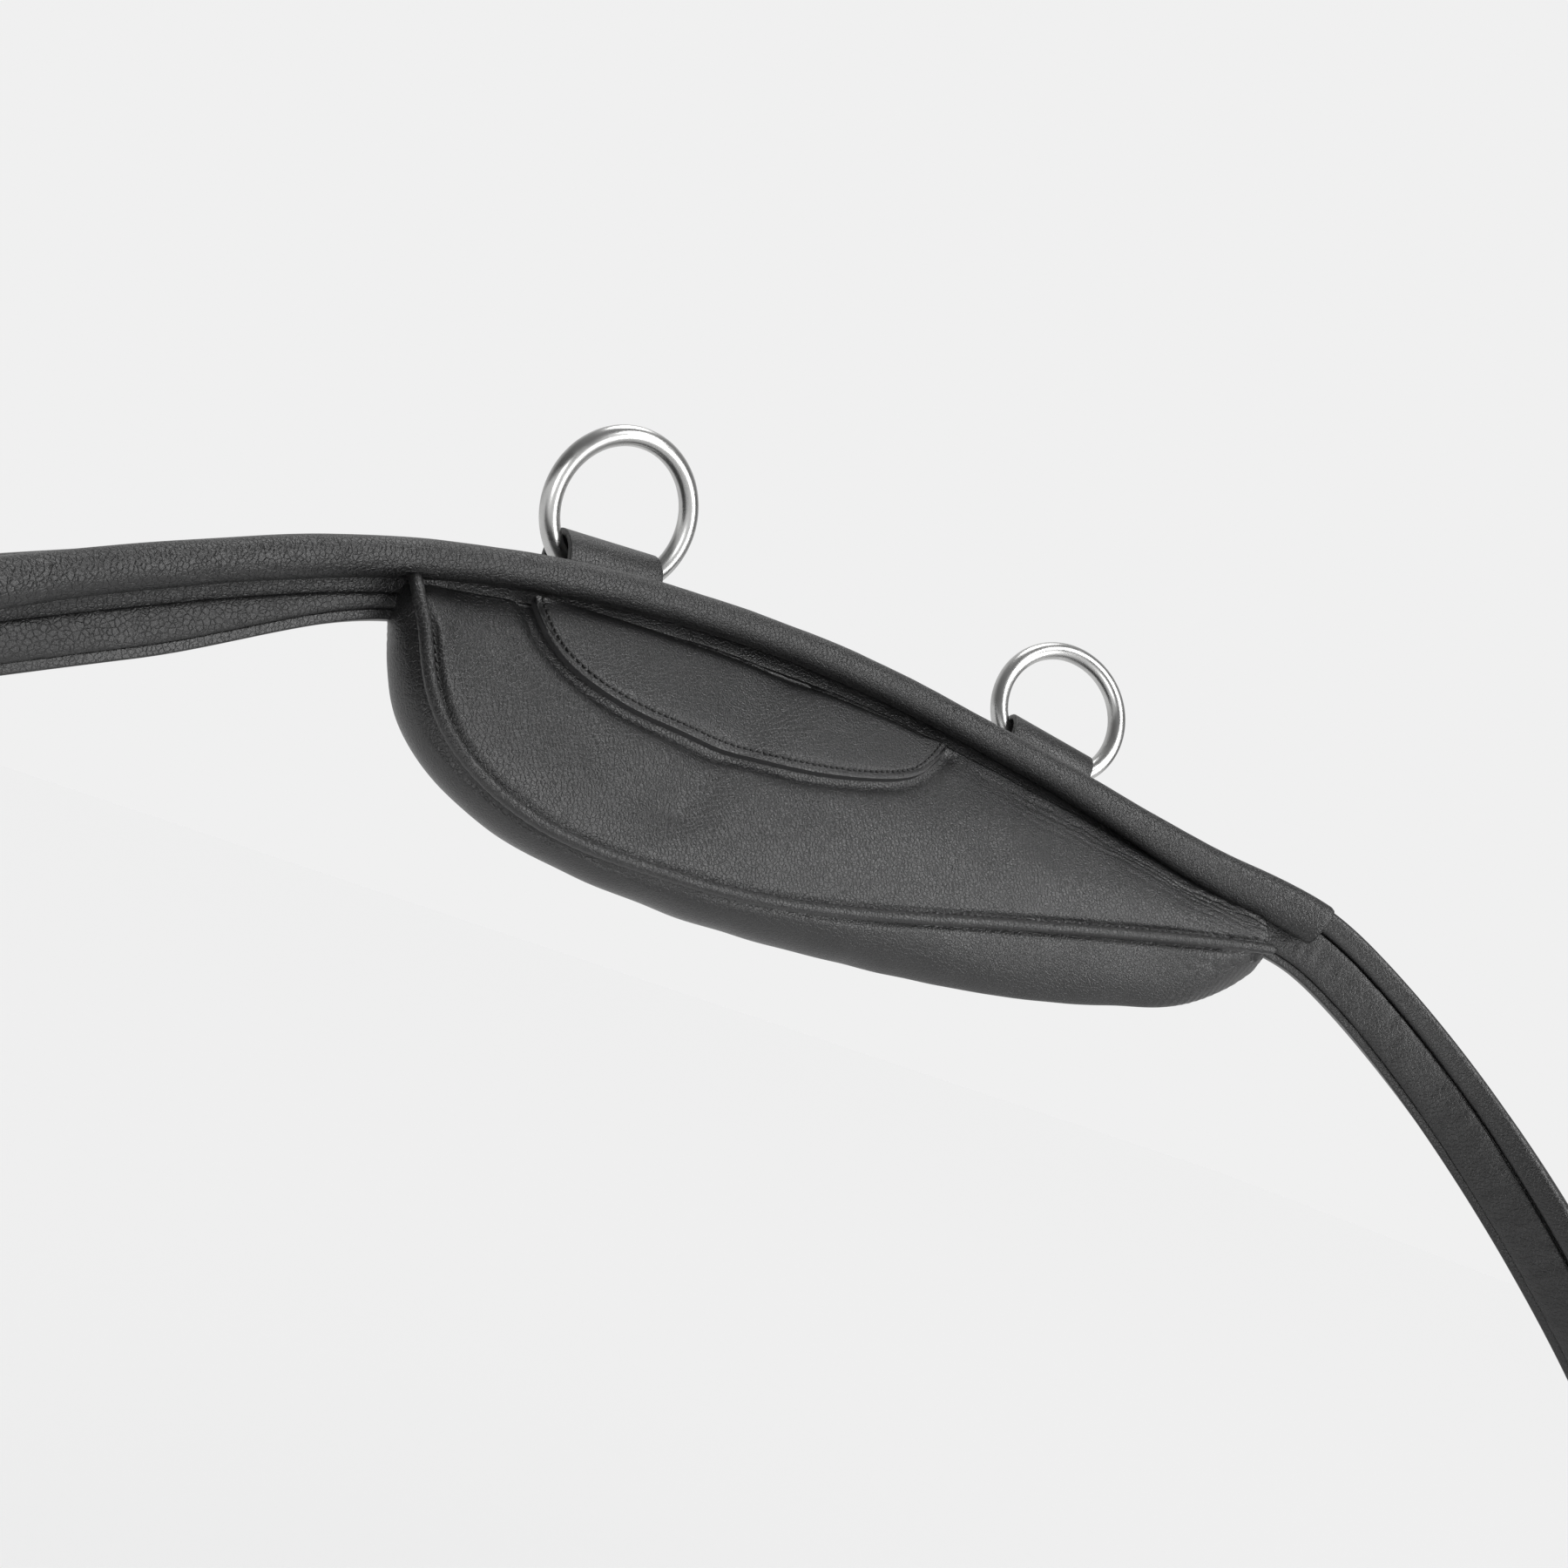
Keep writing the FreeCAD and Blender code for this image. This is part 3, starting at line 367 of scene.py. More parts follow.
def new_material(name):
    material = bpy.data.materials.new(name)
    material.use_nodes = True
    tree = material.node_tree
    tree.nodes.clear()
    place = add_node(tree, "ShaderNodeTexCoord").outputs["Object"]
    return material, tree, place


def finish_shader(tree, shader):
    add_node(tree, "ShaderNodeOutputMaterial", links={"Surface": shader.outputs["BSDF"]})


def make_leather(name, colour, grain, depth, rough_low, rough_high):
    """Chrome-tanned black leather: pebbled grain, satin finish, with painted shade in the grain's valleys and
    painted light on its high places.
    """
    material, tree, place = new_material(name)
    warp = add_node(tree, "ShaderNodeTexNoise", inputs={"Scale": 260.0, "Detail": 2.0},
                    links={"Vector": place})
    moved = add_node(tree, "ShaderNodeVectorMath", {"operation": "MULTIPLY_ADD"},
                     {1: (grain * 0.0006,) * 3}, {0: warp.outputs["Color"], 2: place})
    pebbles = add_node(tree, "ShaderNodeTexVoronoi", {"feature": "F1"},
                       {"Scale": 1000.0 / grain, "Randomness": 1.0},
                       {"Vector": moved.outputs["Vector"]})
    lines = add_node(tree, "ShaderNodeTexVoronoi", {"feature": "DISTANCE_TO_EDGE"},
                     {"Scale": 520.0 / grain, "Randomness": 1.0},
                     {"Vector": moved.outputs["Vector"]})
    line_depth = add_node(tree, "ShaderNodeMapRange", inputs={"From Max": 0.12, "To Max": 0.7},
                          links={"Value": lines.outputs["Distance"]})
    pull = add_node(tree, "ShaderNodeMapping", inputs={"Scale": (1.0, 1.0, 0.22)},
                    links={"Vector": place})
    drawn = add_node(tree, "ShaderNodeTexNoise", inputs={"Scale": 850.0, "Detail": 2.0},
                     links={"Vector": pull.outputs["Vector"]})
    fine = add_node(tree, "ShaderNodeTexNoise", inputs={"Scale": 4200.0, "Detail": 3.0},
                    links={"Vector": place})
    dome = add_node(tree, "ShaderNodeMath", {"operation": "MULTIPLY_ADD"},
                    {1: -0.8}, {0: pebbles.outputs["Distance"], 2: line_depth.outputs["Result"]})
    speckle = add_node(tree, "ShaderNodeMath", {"operation": "MULTIPLY_ADD"}, {1: 0.9},
                       {0: fine.outputs["Fac"], 2: dome.outputs["Value"]})
    relief = add_node(tree, "ShaderNodeMath", {"operation": "MULTIPLY_ADD"}, {1: 0.8},
                      {0: drawn.outputs["Fac"], 2: speckle.outputs["Value"]})
    cloud = add_node(tree, "ShaderNodeTexNoise", inputs={"Scale": 45.0, "Detail": 4.0},
                     links={"Vector": place})
    roughness = add_node(tree, "ShaderNodeMapRange",
                         inputs={"From Min": 0.3, "From Max": 0.7, "To Min": rough_low,
                                 "To Max": rough_high},
                         links={"Value": cloud.outputs["Fac"]})
    # Painted shade and light: the colour darkens in the grain's valleys and fine lines and lightens on its high
    # places.
    shade = add_node(tree, "ShaderNodeMapRange",
                     inputs={"From Min": 0.2, "From Max": 1.8, "To Min": 0.72, "To Max": 1.28},
                     links={"Value": relief.outputs["Value"]})
    tint = add_node(tree, "ShaderNodeVectorMath", {"operation": "SCALE"},
                    {0: linear(colour)[:3]}, {"Scale": shade.outputs["Result"]})
    bump = add_node(tree, "ShaderNodeBump", inputs={"Strength": 1.0, "Distance": depth * MM},
                    links={"Height": relief.outputs["Value"]})
    shader = add_node(tree, "ShaderNodeBsdfPrincipled",
                      inputs={"IOR": 1.5, "Specular IOR Level": 0.7},
                      links={"Base Color": tint.outputs["Vector"],
                             "Roughness": roughness.outputs["Result"],
                             "Normal": bump.outputs["Normal"]})
    finish_shader(tree, shader)
    return material


def make_cut_edge():
    """Raw cut leather edge, dyed but paler and fibrous."""
    material, tree, place = new_material("raw_cut_leather_edge")
    fibre = add_node(tree, "ShaderNodeTexNoise", inputs={"Scale": 2600.0, "Detail": 4.0},
                     links={"Vector": place})
    ramp = add_node(tree, "ShaderNodeMapRange", inputs={"To Min": 0.45, "To Max": 1.5},
                    links={"Value": fibre.outputs["Fac"]})
    tint = add_node(tree, "ShaderNodeVectorMath", {"operation": "SCALE"},
                    {0: linear(finishes().edge)[:3]}, {"Scale": ramp.outputs["Result"]})
    bump = add_node(tree, "ShaderNodeBump", inputs={"Strength": 1.0, "Distance": 0.00012},
                    links={"Height": fibre.outputs["Fac"]})
    shader = add_node(tree, "ShaderNodeBsdfPrincipled", inputs={"Roughness": 0.75},
                      links={"Base Color": tint.outputs["Vector"],
                             "Normal": bump.outputs["Normal"]})
    finish_shader(tree, shader)
    return material


def make_thread():
    """Bonded polyester thread: fine twist, slight shine."""
    material, tree, place = new_material("bonded_polyester_thread")
    twist = add_node(tree, "ShaderNodeTexNoise", inputs={"Scale": 5200.0, "Detail": 1.0},
                     links={"Vector": place})
    bump = add_node(tree, "ShaderNodeBump", inputs={"Strength": 0.8, "Distance": 0.00005},
                    links={"Height": twist.outputs["Fac"]})
    shader = add_node(tree, "ShaderNodeBsdfPrincipled",
                      inputs={"Base Color": linear(finishes().thread), "Roughness": 0.5},
                      links={"Normal": bump.outputs["Normal"]})
    finish_shader(tree, shader)
    return material


def make_steel():
    """Polished stainless steel: bright, with dull worn places that cloud its reflections."""
    material, tree, place = new_material("polished_stainless_steel")
    worn = add_node(tree, "ShaderNodeTexNoise", inputs={"Scale": 160.0, "Detail": 3.0},
                    links={"Vector": place})
    dull = add_node(tree, "ShaderNodeMapRange",
                    inputs={"From Min": 0.35, "From Max": 0.75, "To Min": 0.24, "To Max": 0.38},
                    links={"Value": worn.outputs["Fac"]})
    shade = add_node(tree, "ShaderNodeMapRange",
                     inputs={"From Min": 0.3, "From Max": 0.7, "To Min": 1.05, "To Max": 0.86},
                     links={"Value": worn.outputs["Fac"]})
    tint = add_node(tree, "ShaderNodeVectorMath", {"operation": "SCALE"},
                    {0: linear(finishes().steel)[:3]}, {"Scale": shade.outputs["Result"]})
    shader = add_node(tree, "ShaderNodeBsdfPrincipled", inputs={"Metallic": 1.0},
                      links={"Base Color": tint.outputs["Vector"],
                             "Roughness": dull.outputs["Result"]})
    finish_shader(tree, shader)
    return material


def make_paper():
    """Matt studio floor."""
    material, tree, _ = new_material("studio_floor")
    shader = add_node(tree, "ShaderNodeBsdfPrincipled",
                      inputs={"Base Color": linear(finishes().paper), "Roughness": 0.9,
                              "Specular IOR Level": 0.0})
    finish_shader(tree, shader)
    return material


def make_studio():
    """Even pale studio: bright behind the work and above it, darker round the viewer's side."""
    world = bpy.data.worlds.new("studio")
    world.use_nodes = True
    tree = world.node_tree
    tree.nodes.clear()
    way = add_node(tree, "ShaderNodeTexCoord").outputs["Generated"]
    axes = add_node(tree, "ShaderNodeSeparateXYZ", links={"Vector": way}).outputs
    far = add_node(tree, "ShaderNodeMapRange", {"interpolation_type": "SMOOTHSTEP"},
                   {"From Min": -0.1, "From Max": 0.9, "To Min": 0.09, "To Max": 0.80},
                   {"Value": axes["Y"]})
    glow = add_node(tree, "ShaderNodeMapRange", {"interpolation_type": "SMOOTHSTEP"},
                    {"From Min": 0.0, "From Max": 0.9, "To Min": 0.0, "To Max": 0.22},
                    {"Value": axes["Z"]})
    shine = add_node(tree, "ShaderNodeMath", {"operation": "ADD"}, {},
                     {0: far.outputs["Result"], 1: glow.outputs["Result"]})
    rays = add_node(tree, "ShaderNodeLightPath").outputs
    even = add_node(tree, "ShaderNodeMix", {"data_type": "FLOAT"}, {"A": 1.0, "B": 1.15},
                    {"Factor": rays["Is Diffuse Ray"]})
    strength = add_node(tree, "ShaderNodeMix", {"data_type": "FLOAT"}, {},
                        {"Factor": rays["Is Glossy Ray"], "A": even.outputs["Result"],
                         "B": shine.outputs["Value"]})
    background = add_node(tree, "ShaderNodeBackground",
                          inputs={"Color": linear(finishes().paper)},
                          links={"Strength": strength.outputs["Result"]})
    add_node(tree, "ShaderNodeOutputWorld", links={"Surface": background.outputs["Background"]})
    return world


MAKERS = {
    "nappa": lambda: make_leather("soft_nappa_leather", finishes().nappa, 0.5, 0.075, 0.33, 0.44),
    "roll": lambda: make_leather("roll_nappa_leather", finishes().nappa, 0.55, 0.10, 0.32, 0.45),
    "firm": lambda: make_leather("firm_strap_leather", finishes().firm, 0.5, 0.06, 0.33, 0.44),
    "lining": lambda: make_leather("soft_lining_leather", finishes().nappa, 0.6, 0.10, 0.38, 0.52),
    "edge": make_cut_edge,
    "thread": make_thread,
    "steel": make_steel,
    "paper": make_paper,
}


def material(key):
    """The finish of that name, made when first asked for."""
    mark = "finish_" + key
    for known in bpy.data.materials:
        if known.get("finish") == mark:
            return known
    made = MAKERS[key]()
    made["finish"] = mark
    return made


def attach(piece, body, slot, *nodes):
    """Hides the CAD nodes a finished piece stands for and sets the piece on the body it rides on; the slot is not
    used.
    """
    if nodes:
        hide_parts(*nodes)
    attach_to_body(piece, body)
    return piece


# ---------------------------------------------------------------- the pad's surfaces

# The front seam from the pad's upper left corner round to its right tip: (x, drop).
WELT = [(-109.6, -4), (-109.2, 1), (-108.3, 6), (-105.5, 12), (-101, 24), (-93, 36.5),
        (-82, 44), (-67, 48.4), (-45, 48.8), (-20, 46.8), (9, 40.7), (47, 29.4), (86, 17.7), (118, 8.6), (130, 5.5)]
# The back seam, level with the same places: (x, drop).
BACK_SEAM = [(-111.8, -7), (-111.7, -2), (-110.8, 5), (-108.3, 12), (-103, 24.5), (-93, 35),
             (-81, 41.5), (-65, 45), (-42, 47.2), (-12, 47), (20, 44.6), (58, 39.5), (95, 30), (123, 17), (138, 2)]
# The half-moon patch's lower edge: (x, drop).
PATCH_EDGE = [(-84, -5.5), (-79.5, 2.8), (-70, 10.4), (-53, 14.5), (-30, 14), (-7, 10.7),
              (12.7, 4.3), (24, -2.5), (31, -13)]
PANEL_FRONT = -3.0
SEAM_BELOW = 1.2
GUSSET_BULGE = 3.0


def panel_axes():
    tilt = math.radians(pad().tilt)
    down = np.array([0, -math.sin(tilt), -math.cos(tilt)])
    out = np.array([0, -math.cos(tilt), math.sin(tilt)])
    return down, out


def panel_point(x, drop, out):
    """Points of the pad: x along it, drop down the tilted panel, out from the panel's plane."""
    down_way, out_way = panel_axes()
    x, drop, out = np.broadcast_arrays(*(np.asarray(v, float) for v in (x, drop, out)))
    base = np.stack([x, -x ** 2 / (2 * pad().bow) + PANEL_FRONT, np.zeros_like(x)], -1)
    return base + drop[..., None] * down_way + out[..., None] * out_way


def upper_seam(line, x):
    """Drop and stand-off of the pad's upper seam at x, tucked under the back of the roll."""
    x = np.asarray(x, float)
    centre = line.centre(x)
    down_way, out_way = panel_axes()
    seam = np.zeros_like(centre)
    seam[:, 1] = centre[:, 1] + x ** 2 / (2 * pad().bow) + SEAM_BELOW - PANEL_FRONT
    seam[:, 2] = centre[:, 2] - strap().roll_height / 2 - SEAM_BELOW
    return seam @ down_way, seam @ out_way


def front_surface(line, t, share):
    """Crowned front panel: t runs along the welt, share from the upper seam to the welt."""
    welt = Spline(WELT)
    edge = welt.at(t)[0]
    x, foot = edge[:, 0], edge[:, 1]
    top, stand = upper_seam(line, x)
    top = np.minimum(top, foot - 0.6)
    width = foot - top
    share = np.asarray(share, float)
    # The filling rises steeply from the seam below and gently from under the roll.
    rise = (1 - share ** 5) * (1 - (1 - share) ** 2)
    crown = pad().crown * rise * np.minimum(1.0, width / 26)[:, None]
    lean = stand[:, None] * (1 - share)
    x = np.broadcast_to(x[:, None], crown.shape)
    tuck = tucked(edge)[:, None] * share
    return panel_point(x, top[:, None] + width[:, None] * share, lean + crown + tuck)


def tucked(place):
    """How far back the front seam goes where it runs under the roll, at its left end."""
    return -5.5 * np.clip((7 - place[:, 1]) / 8, 0, 1) ** 1.5 * (place[:, 0] < 0)


def rim_curves(t_share):
    """Front seam, back seam and the outward direction between them, at shares of the way."""
    welt, back = Spline(WELT), Spline(BACK_SEAM)
    front_place, front_run = welt.at(t_share * welt.marks[-1])
    marks = np.interp(t_share * welt.marks[-1], welt.marks, back.marks)
    back_place = back.at(marks)[0]
    front = panel_point(front_place[:, 0], front_place[:, 1], tucked(front_place))
    thick = pad().depth * np.clip(0.55 + 0.45 * (back_place[:, 1] + 7) / 19, 0.55, 1)
    thick = np.where(back_place[:, 0] < 0, thick, pad().depth)
    rear = panel_point(back_place[:, 0], back_place[:, 1], -thick)
    down_way, _ = panel_axes()
    normal = np.stack([-front_run[:, 1], front_run[:, 0]], -1)
    outward = normal[:, :1] * np.array([1.0, 0, 0]) + normal[:, 1:] * down_way
    return front, rear, outward


# ---------------------------------------------------------------- operators

class StrapOperator(bpy.types.Operator):
    """Makes the load strap with its sewn margin and soft linings."""
    bl_idname = "neck_strap.strap"
    bl_label = "Strap and linings"

    def execute(self, context):
        line = NeckLine()
        sizes = strap()
        radius = sizes.roll_height / 2
        face = -sizes.roll_depth / 2 - 0.15
        back = face - sizes.thick
        top = -radius + 0.3
        foot = top + sizes.width
        every = line.frames(np.linspace(0, line.length, 340))
        profile = np.array([rounded_box(top, foot - d, back, face, 0.9)
                            for d in narrowing(every)])
        attach(sweep("neck_strap_leather", every, profile, material("firm")),
               LEATHERWORK, "leather", "neck_strap")

        margin_to = radius + sizes.margin - 0.6
        spans = {"left": (line.width_marks[0], line.measure_at(-112), margin_to + 0.15),
                 "right": (line.measure_at(131), line.width_marks[-1], radius - 1.6)}
        for side, (first, last, low) in spans.items():
            u = np.linspace(first, last, int((last - first) / 1.0))
            frames = line.frames(u)
            high = foot - 1.7 - narrowing(frames)
            middle, half = (low + high) / 2, (high - low) / 2
            around = 44
            profile = np.zeros((len(u), around, 2))
            for k in range(around):
                angle = 2 * math.pi * k / around
                down = math.copysign(abs(math.cos(angle)) ** 0.7, math.cos(angle)) * half
                swell = math.copysign(abs(math.sin(angle)) ** 0.8, math.sin(angle))
                for row, measure in enumerate(u):
                    wave = noise.noise(Vector((measure / 16, down[row] / 9, 3)))
                    fine = noise.noise(Vector((measure / 2.6, down[row] / 4.5, 8)))
                    lift = 0.4 * wave + 0.32 * fine if swell > 0.2 else 0.0
                    profile[row, k] = (middle[row] + down[row],
                                       face + 0.9 + (1.25 if swell > 0 else 0.8) * swell + lift)
            attach(sweep("lining_" + side, frames, profile, material("lining")),
                   LEATHERWORK, "lining", "strap_lining_" + side)
            bound = np.array([rounded_box(foot - 1.9 - d, foot + 0.5 - d, back - 0.3, face + 0.9,
                                          0.5, cells=3) for d in narrowing(frames)])
            attach(sweep("bound_edge_" + side, frames, bound, material("firm")),
                   LEATHERWORK, "leather")
        rolled = rounded_box(-radius - 0.1, radius - 1.8, back - 0.3, face + 1.9, 1.7, cells=3)
        u = np.linspace(line.measure_at(sizes.roll_end - 3), line.width_marks[-1], 140)
        attach(sweep("rolled_edge_right", line.frames(u), rolled, material("firm")),
               LEATHERWORK, "leather")

        seam_spans = {"left": (line.measure_at(-176), line.measure_at(-104)),
                      "right": (line.measure_at(128), line.measure_at(144.5))}
        for side, (first, last) in seam_spans.items():
            u = np.linspace(first, last, 110)
            end = margin_to + 0.2
            flap = [(end, face + 0.3), (end + 0.15, face + 1.0), (end - 0.2, face + 1.6),
                    (end - 1.3, face + 2.0), (end - 2.6, face + 2.5), (end - 3.8, face + 3.4),
                    (end - 5.0, face + 4.2), (end - 5.2, face + 0.6), (end - 3.0, face + 0.3)]
            attach(sweep("roll_margin_" + side, line.frames(u), flap, material("roll")),
                   LEATHERWORK, "leather")
        return {"FINISHED"}


class RollOperator(bpy.types.Operator):
    """Makes the padded roll along the strap's upper inner edge."""
    bl_idname = "neck_strap.roll"
    bl_label = "Padded roll"

    def execute(self, context):
        line = NeckLine()
        sizes = strap()
        first = float(line.measure_at(-sizes.roll_end - 31))
        last = float(line.measure_at(sizes.roll_end - 0.5))
        u = np.linspace(first, last, int((last - first) / 0.9))
        frames = line.frames(u)
        around = 48
        half_height, half_depth = sizes.roll_height / 2, sizes.roll_depth / 2
        profile = np.zeros((len(u), around, 2))
        for row, measure in enumerate(u):
            x = frames[0][row][0]
            # Slightly uneven filling, and a squashed underside where the roll is sewn down.
            swell = 1 + 0.018 * math.sin(measure / 11) + 0.012 * math.sin(measure / 4.3 + 1)
            ending = min(1.0, (last - measure) / 1.2 + 0.93)
            for column in range(around):
                angle = 2 * math.pi * column / around
                down = math.cos(angle) * half_height * swell * ending
                if down > 0:
                    share = max(0.0, min(1.0, (x - 60) / 62))
                    down *= 1 + 0.8 * share * share * (3 - 2 * share)
                inward = math.sin(angle) * half_depth * swell * ending
                lower = max(0.0, math.cos(angle)) * max(0.0, math.sin(angle))
                place = (x * 0.9 + measure * 0.3 + column * 0.5, column * 0.8, measure * 0.25)
                left = min(1.0, max(0.0, (-30 - x) / 60))
                fold = crease(place, 3.2, seed=5) * lower * (0.35 + 0.5 * left)
                soft = 0.10 * noise.noise(Vector((measure / 6, angle * 1.2, 0)))
                profile[row, column] = (down * (1 - 0.02 * fold),
                                        inward * (1 + 0.02 * soft) - fold * 0.5 + soft)
        piece = sweep("padded_roll", frames, profile, material("roll"))
        attach(piece, LEATHERWORK, "leather", "roll_cover", "roll_core")
        return {"FINISHED"}


class PadOperator(bpy.types.Operator):
    """Makes the wither pad: panel, gusset and back round its filling, swollen by cloth."""
    bl_idname = "neck_strap.pad"
    bl_label = "Wither pad"

    def execute(self, context):
        line = NeckLine()
        welt = Spline(WELT)
        t_share = np.linspace(0, 1, 118)
        t = t_share * welt.marks[-1]
        front_shares = np.linspace(0, 1, 19)
        front_grid = front_surface(line, t, front_shares)
        front, rear, outward = rim_curves(t_share)
        taper = np.minimum(1.0, np.minimum(t_share, 1 - t_share) * 14)[:, None, None]
        across = np.linspace(0, 1, 11)[None, :, None]
        bulge = GUSSET_BULGE * 4 * across * (1 - across) * taper
        gusset_grid = (front[:, None] * (1 - across) + rear[:, None] * across
                       + outward[:, None] * (0.6 + bulge))
        x = front[:, 0]
        top, _ = upper_seam(line, x)
        rear_drop = np.interp(t_share, np.linspace(0, 1, len(x)), (rear - panel_point(
            rear[:, 0], 0 * rear[:, 0], -pad().depth)) @ panel_axes()[0])
        up = np.linspace(0, 1, 12)[None, :]
        edge_drop = np.minimum(top + 11, rear_drop - 1)
        drop = rear_drop[:, None] * (1 - up) + edge_drop[:, None] * up
        thin = pad().depth * (1 - 0.38 * up)
        back_x = rear[:, :1] * (1 - up) + x[:, None] * up
        back_grid = panel_point(back_x, drop, -thin - 2.5 * 4 * up * (1 - up) * taper[:, :, 0])
        # Rings of the closed form, from the upper front seam round and back to it.
        rows = np.concatenate([front_grid, gusset_grid[:, 1:-1], back_grid], axis=1)
        count = rows.shape[1]
        points = rows.reshape(-1, 3)
        faces = grid_faces(len(t), count, close=True)
        faces.append(tuple(range(count)))
        faces.append(tuple((len(t) - 1) * count + k for k in range(count)))
        piece = new_piece("wither_pad", points, faces, material("nappa"))
        seams = [0, len(front_shares) - 1, len(front_shares) + len(across[0]) - 2, count - 1]
        self.swell(piece, len(t), count, seams)
        smooth = piece.modifiers.new("Fine surface", "SUBSURF")
        smooth.levels = smooth.render_levels = 2
        finish_modifiers(piece)
        self.wrinkle(piece)
        piece.data.shade_smooth()
        attach(piece, LEATHERWORK, "leather", "pad_front_panel", "pad_gusset",
               "pad_back_panel", "pad_filling")
        return {"FINISHED"}

    def swell(self, piece, stations, count, seams):
        """Lets cloth under pressure fill the shape out, held along its seams."""
        rest = np.array([v.co for v in piece.data.vertices])
        held = piece.vertex_groups.new(name="seams")
        for row in range(stations):
            for column in seams:
                held.add([row * count + column], 1.0, "REPLACE")
        ends = list(range(count)) + list(range((stations - 1) * count, stations * count))
        held.add(ends, 1.0, "REPLACE")
        cloth = piece.modifiers.new("Filling", "CLOTH")
        cloth.settings.use_pressure = True
        cloth.settings.uniform_pressure_force = 4.0
        cloth.settings.vertex_group_mass = "seams"
        cloth.settings.shrink_min = 0.0
        cloth.settings.effector_weights.gravity = 0
        cloth.settings.quality = 6
        cloth.collision_settings.use_collision = False
        for number in range(1, 21):
            bpy.context.scene.frame_set(number)
        finish_modifiers(piece)
        bpy.context.scene.frame_set(1)
        swollen = np.array([v.co for v in piece.data.vertices])
        moved = (swollen - rest).reshape(stations, count, 3)
        # Well-filled leather has no loose gathers, so neighbours swell alike.
        firm = np.zeros((stations, count, 1))
        firm[:, seams] = firm[0] = firm[-1] = 1
        for _ in range(40):
            even = (np.roll(moved, 1, 0) + np.roll(moved, -1, 0) + np.roll(moved, 1, 1)
                    + np.roll(moved, -1, 1) + moved * 2) / 6
            moved = even * (1 - firm)
        moved = moved.reshape(-1, 3)
        far = np.linalg.norm(moved, axis=1, keepdims=True)
        limit = pad().puff * MM
        capped = rest + moved * np.minimum(1.0, limit / np.maximum(far, 1e-9))
        piece.data.vertices.foreach_set("co", capped.ravel())
        piece.vertex_groups.clear()

    def wrinkle(self, piece):
        """Fine folds where the leather is gathered: at the upper left, and at the right tip."""
        line = NeckLine()
        mesh = piece.data
        normals = np.zeros(len(mesh.vertices) * 3)
        mesh.vertex_normals.foreach_get("vector", normals)
        normals = normals.reshape(-1, 3)
        places = np.array([v.co for v in mesh.vertices]) / MM
        down_way, out_way = panel_axes()
        base = panel_point(places[:, 0], 0, 0)
        drops, outs = (places - base) @ down_way, (places - base) @ out_way
        tops, _ = upper_seam(line, places[:, 0])
        welt = Spline(WELT)
        edge = welt.at(welt.even(1.0))[0]
        # The leather is drawn down just outside the patch's edge.
        patch_edge = inside_of(PATCH_EDGE, -1.6)
        for index, (place, normal) in enumerate(zip(places, normals)):
            x, drop, out = place[0], drops[index], outs[index]
            on_front = normal @ out_way
            near = np.min(np.hypot(edge[:, 0] - x, edge[:, 1] - drop)) if on_front > 0.3 else 9
            below = drop - tops[index]
            soft = noise.noise(Vector(place) / 15.0) * 0.40
            move = soft
            if on_front > 0.3 and out > -6:
                # A shallow hollow across the filling, and the groove along the seam.
                bed = math.exp(-((x + 38 + 0.5 * (drop - 30)) / 9) ** 2)
                move -= 1.6 * bed * min(1.0, max(0.0, near - 2) / 12)
                move -= 0.75 * math.exp(-((near - 1.3) / 0.9) ** 2)
                beside = np.min(np.hypot(patch_edge[:, 0] - x, patch_edge[:, 1] - drop))
                move -= 1.0 * math.exp(-(beside / 2.2) ** 2)
                # Folds gathered along the roll, to the right of the patch.
                reach = max(0.0, min(1.0, (x - 22) / 30))
                wander = (1.5 * noise.noise(Vector((x / 11, below / 6, 0)))
                          + 0.5 * noise.noise(Vector((x / 3.5, below / 2, 5))))
                for depth, level in ((0.30, 5.6), (0.24, 7.0), (0.18, 8.8), (0.12, 11.5)):
                    fade = 0.6 + 0.8 * noise.noise(Vector((x / 7, level, 2)))
                    move -= reach * depth * fade * math.exp(
                        -((below + wander - level) / 0.42) ** 2)
                tip = max(0.0, min(1.0, (x - 95) / 25))
                move -= 0.25 * tip * crease((x * 0.35, drop, 0), 3.0, seed=2)
            elif out > -16:
                # Gathers at the gusset's two ends, running across it.
                ends = max(0.0, min(1.0, (14 - drop) / 9)) if x < 0 else max(
                    0.0, min(1.0, (x - 100) / 20))
                along = drop if x < 0 else x
                ripple = math.sin(along * 2.9 + 1.5 * noise.noise(Vector(place) / 4))
                move += ends * (0.13 if x < 0 else 0.07) * ripple
            places[index] = place + normal * move
        mesh.vertices.foreach_set("co", (places * MM).ravel())
        mesh.update()


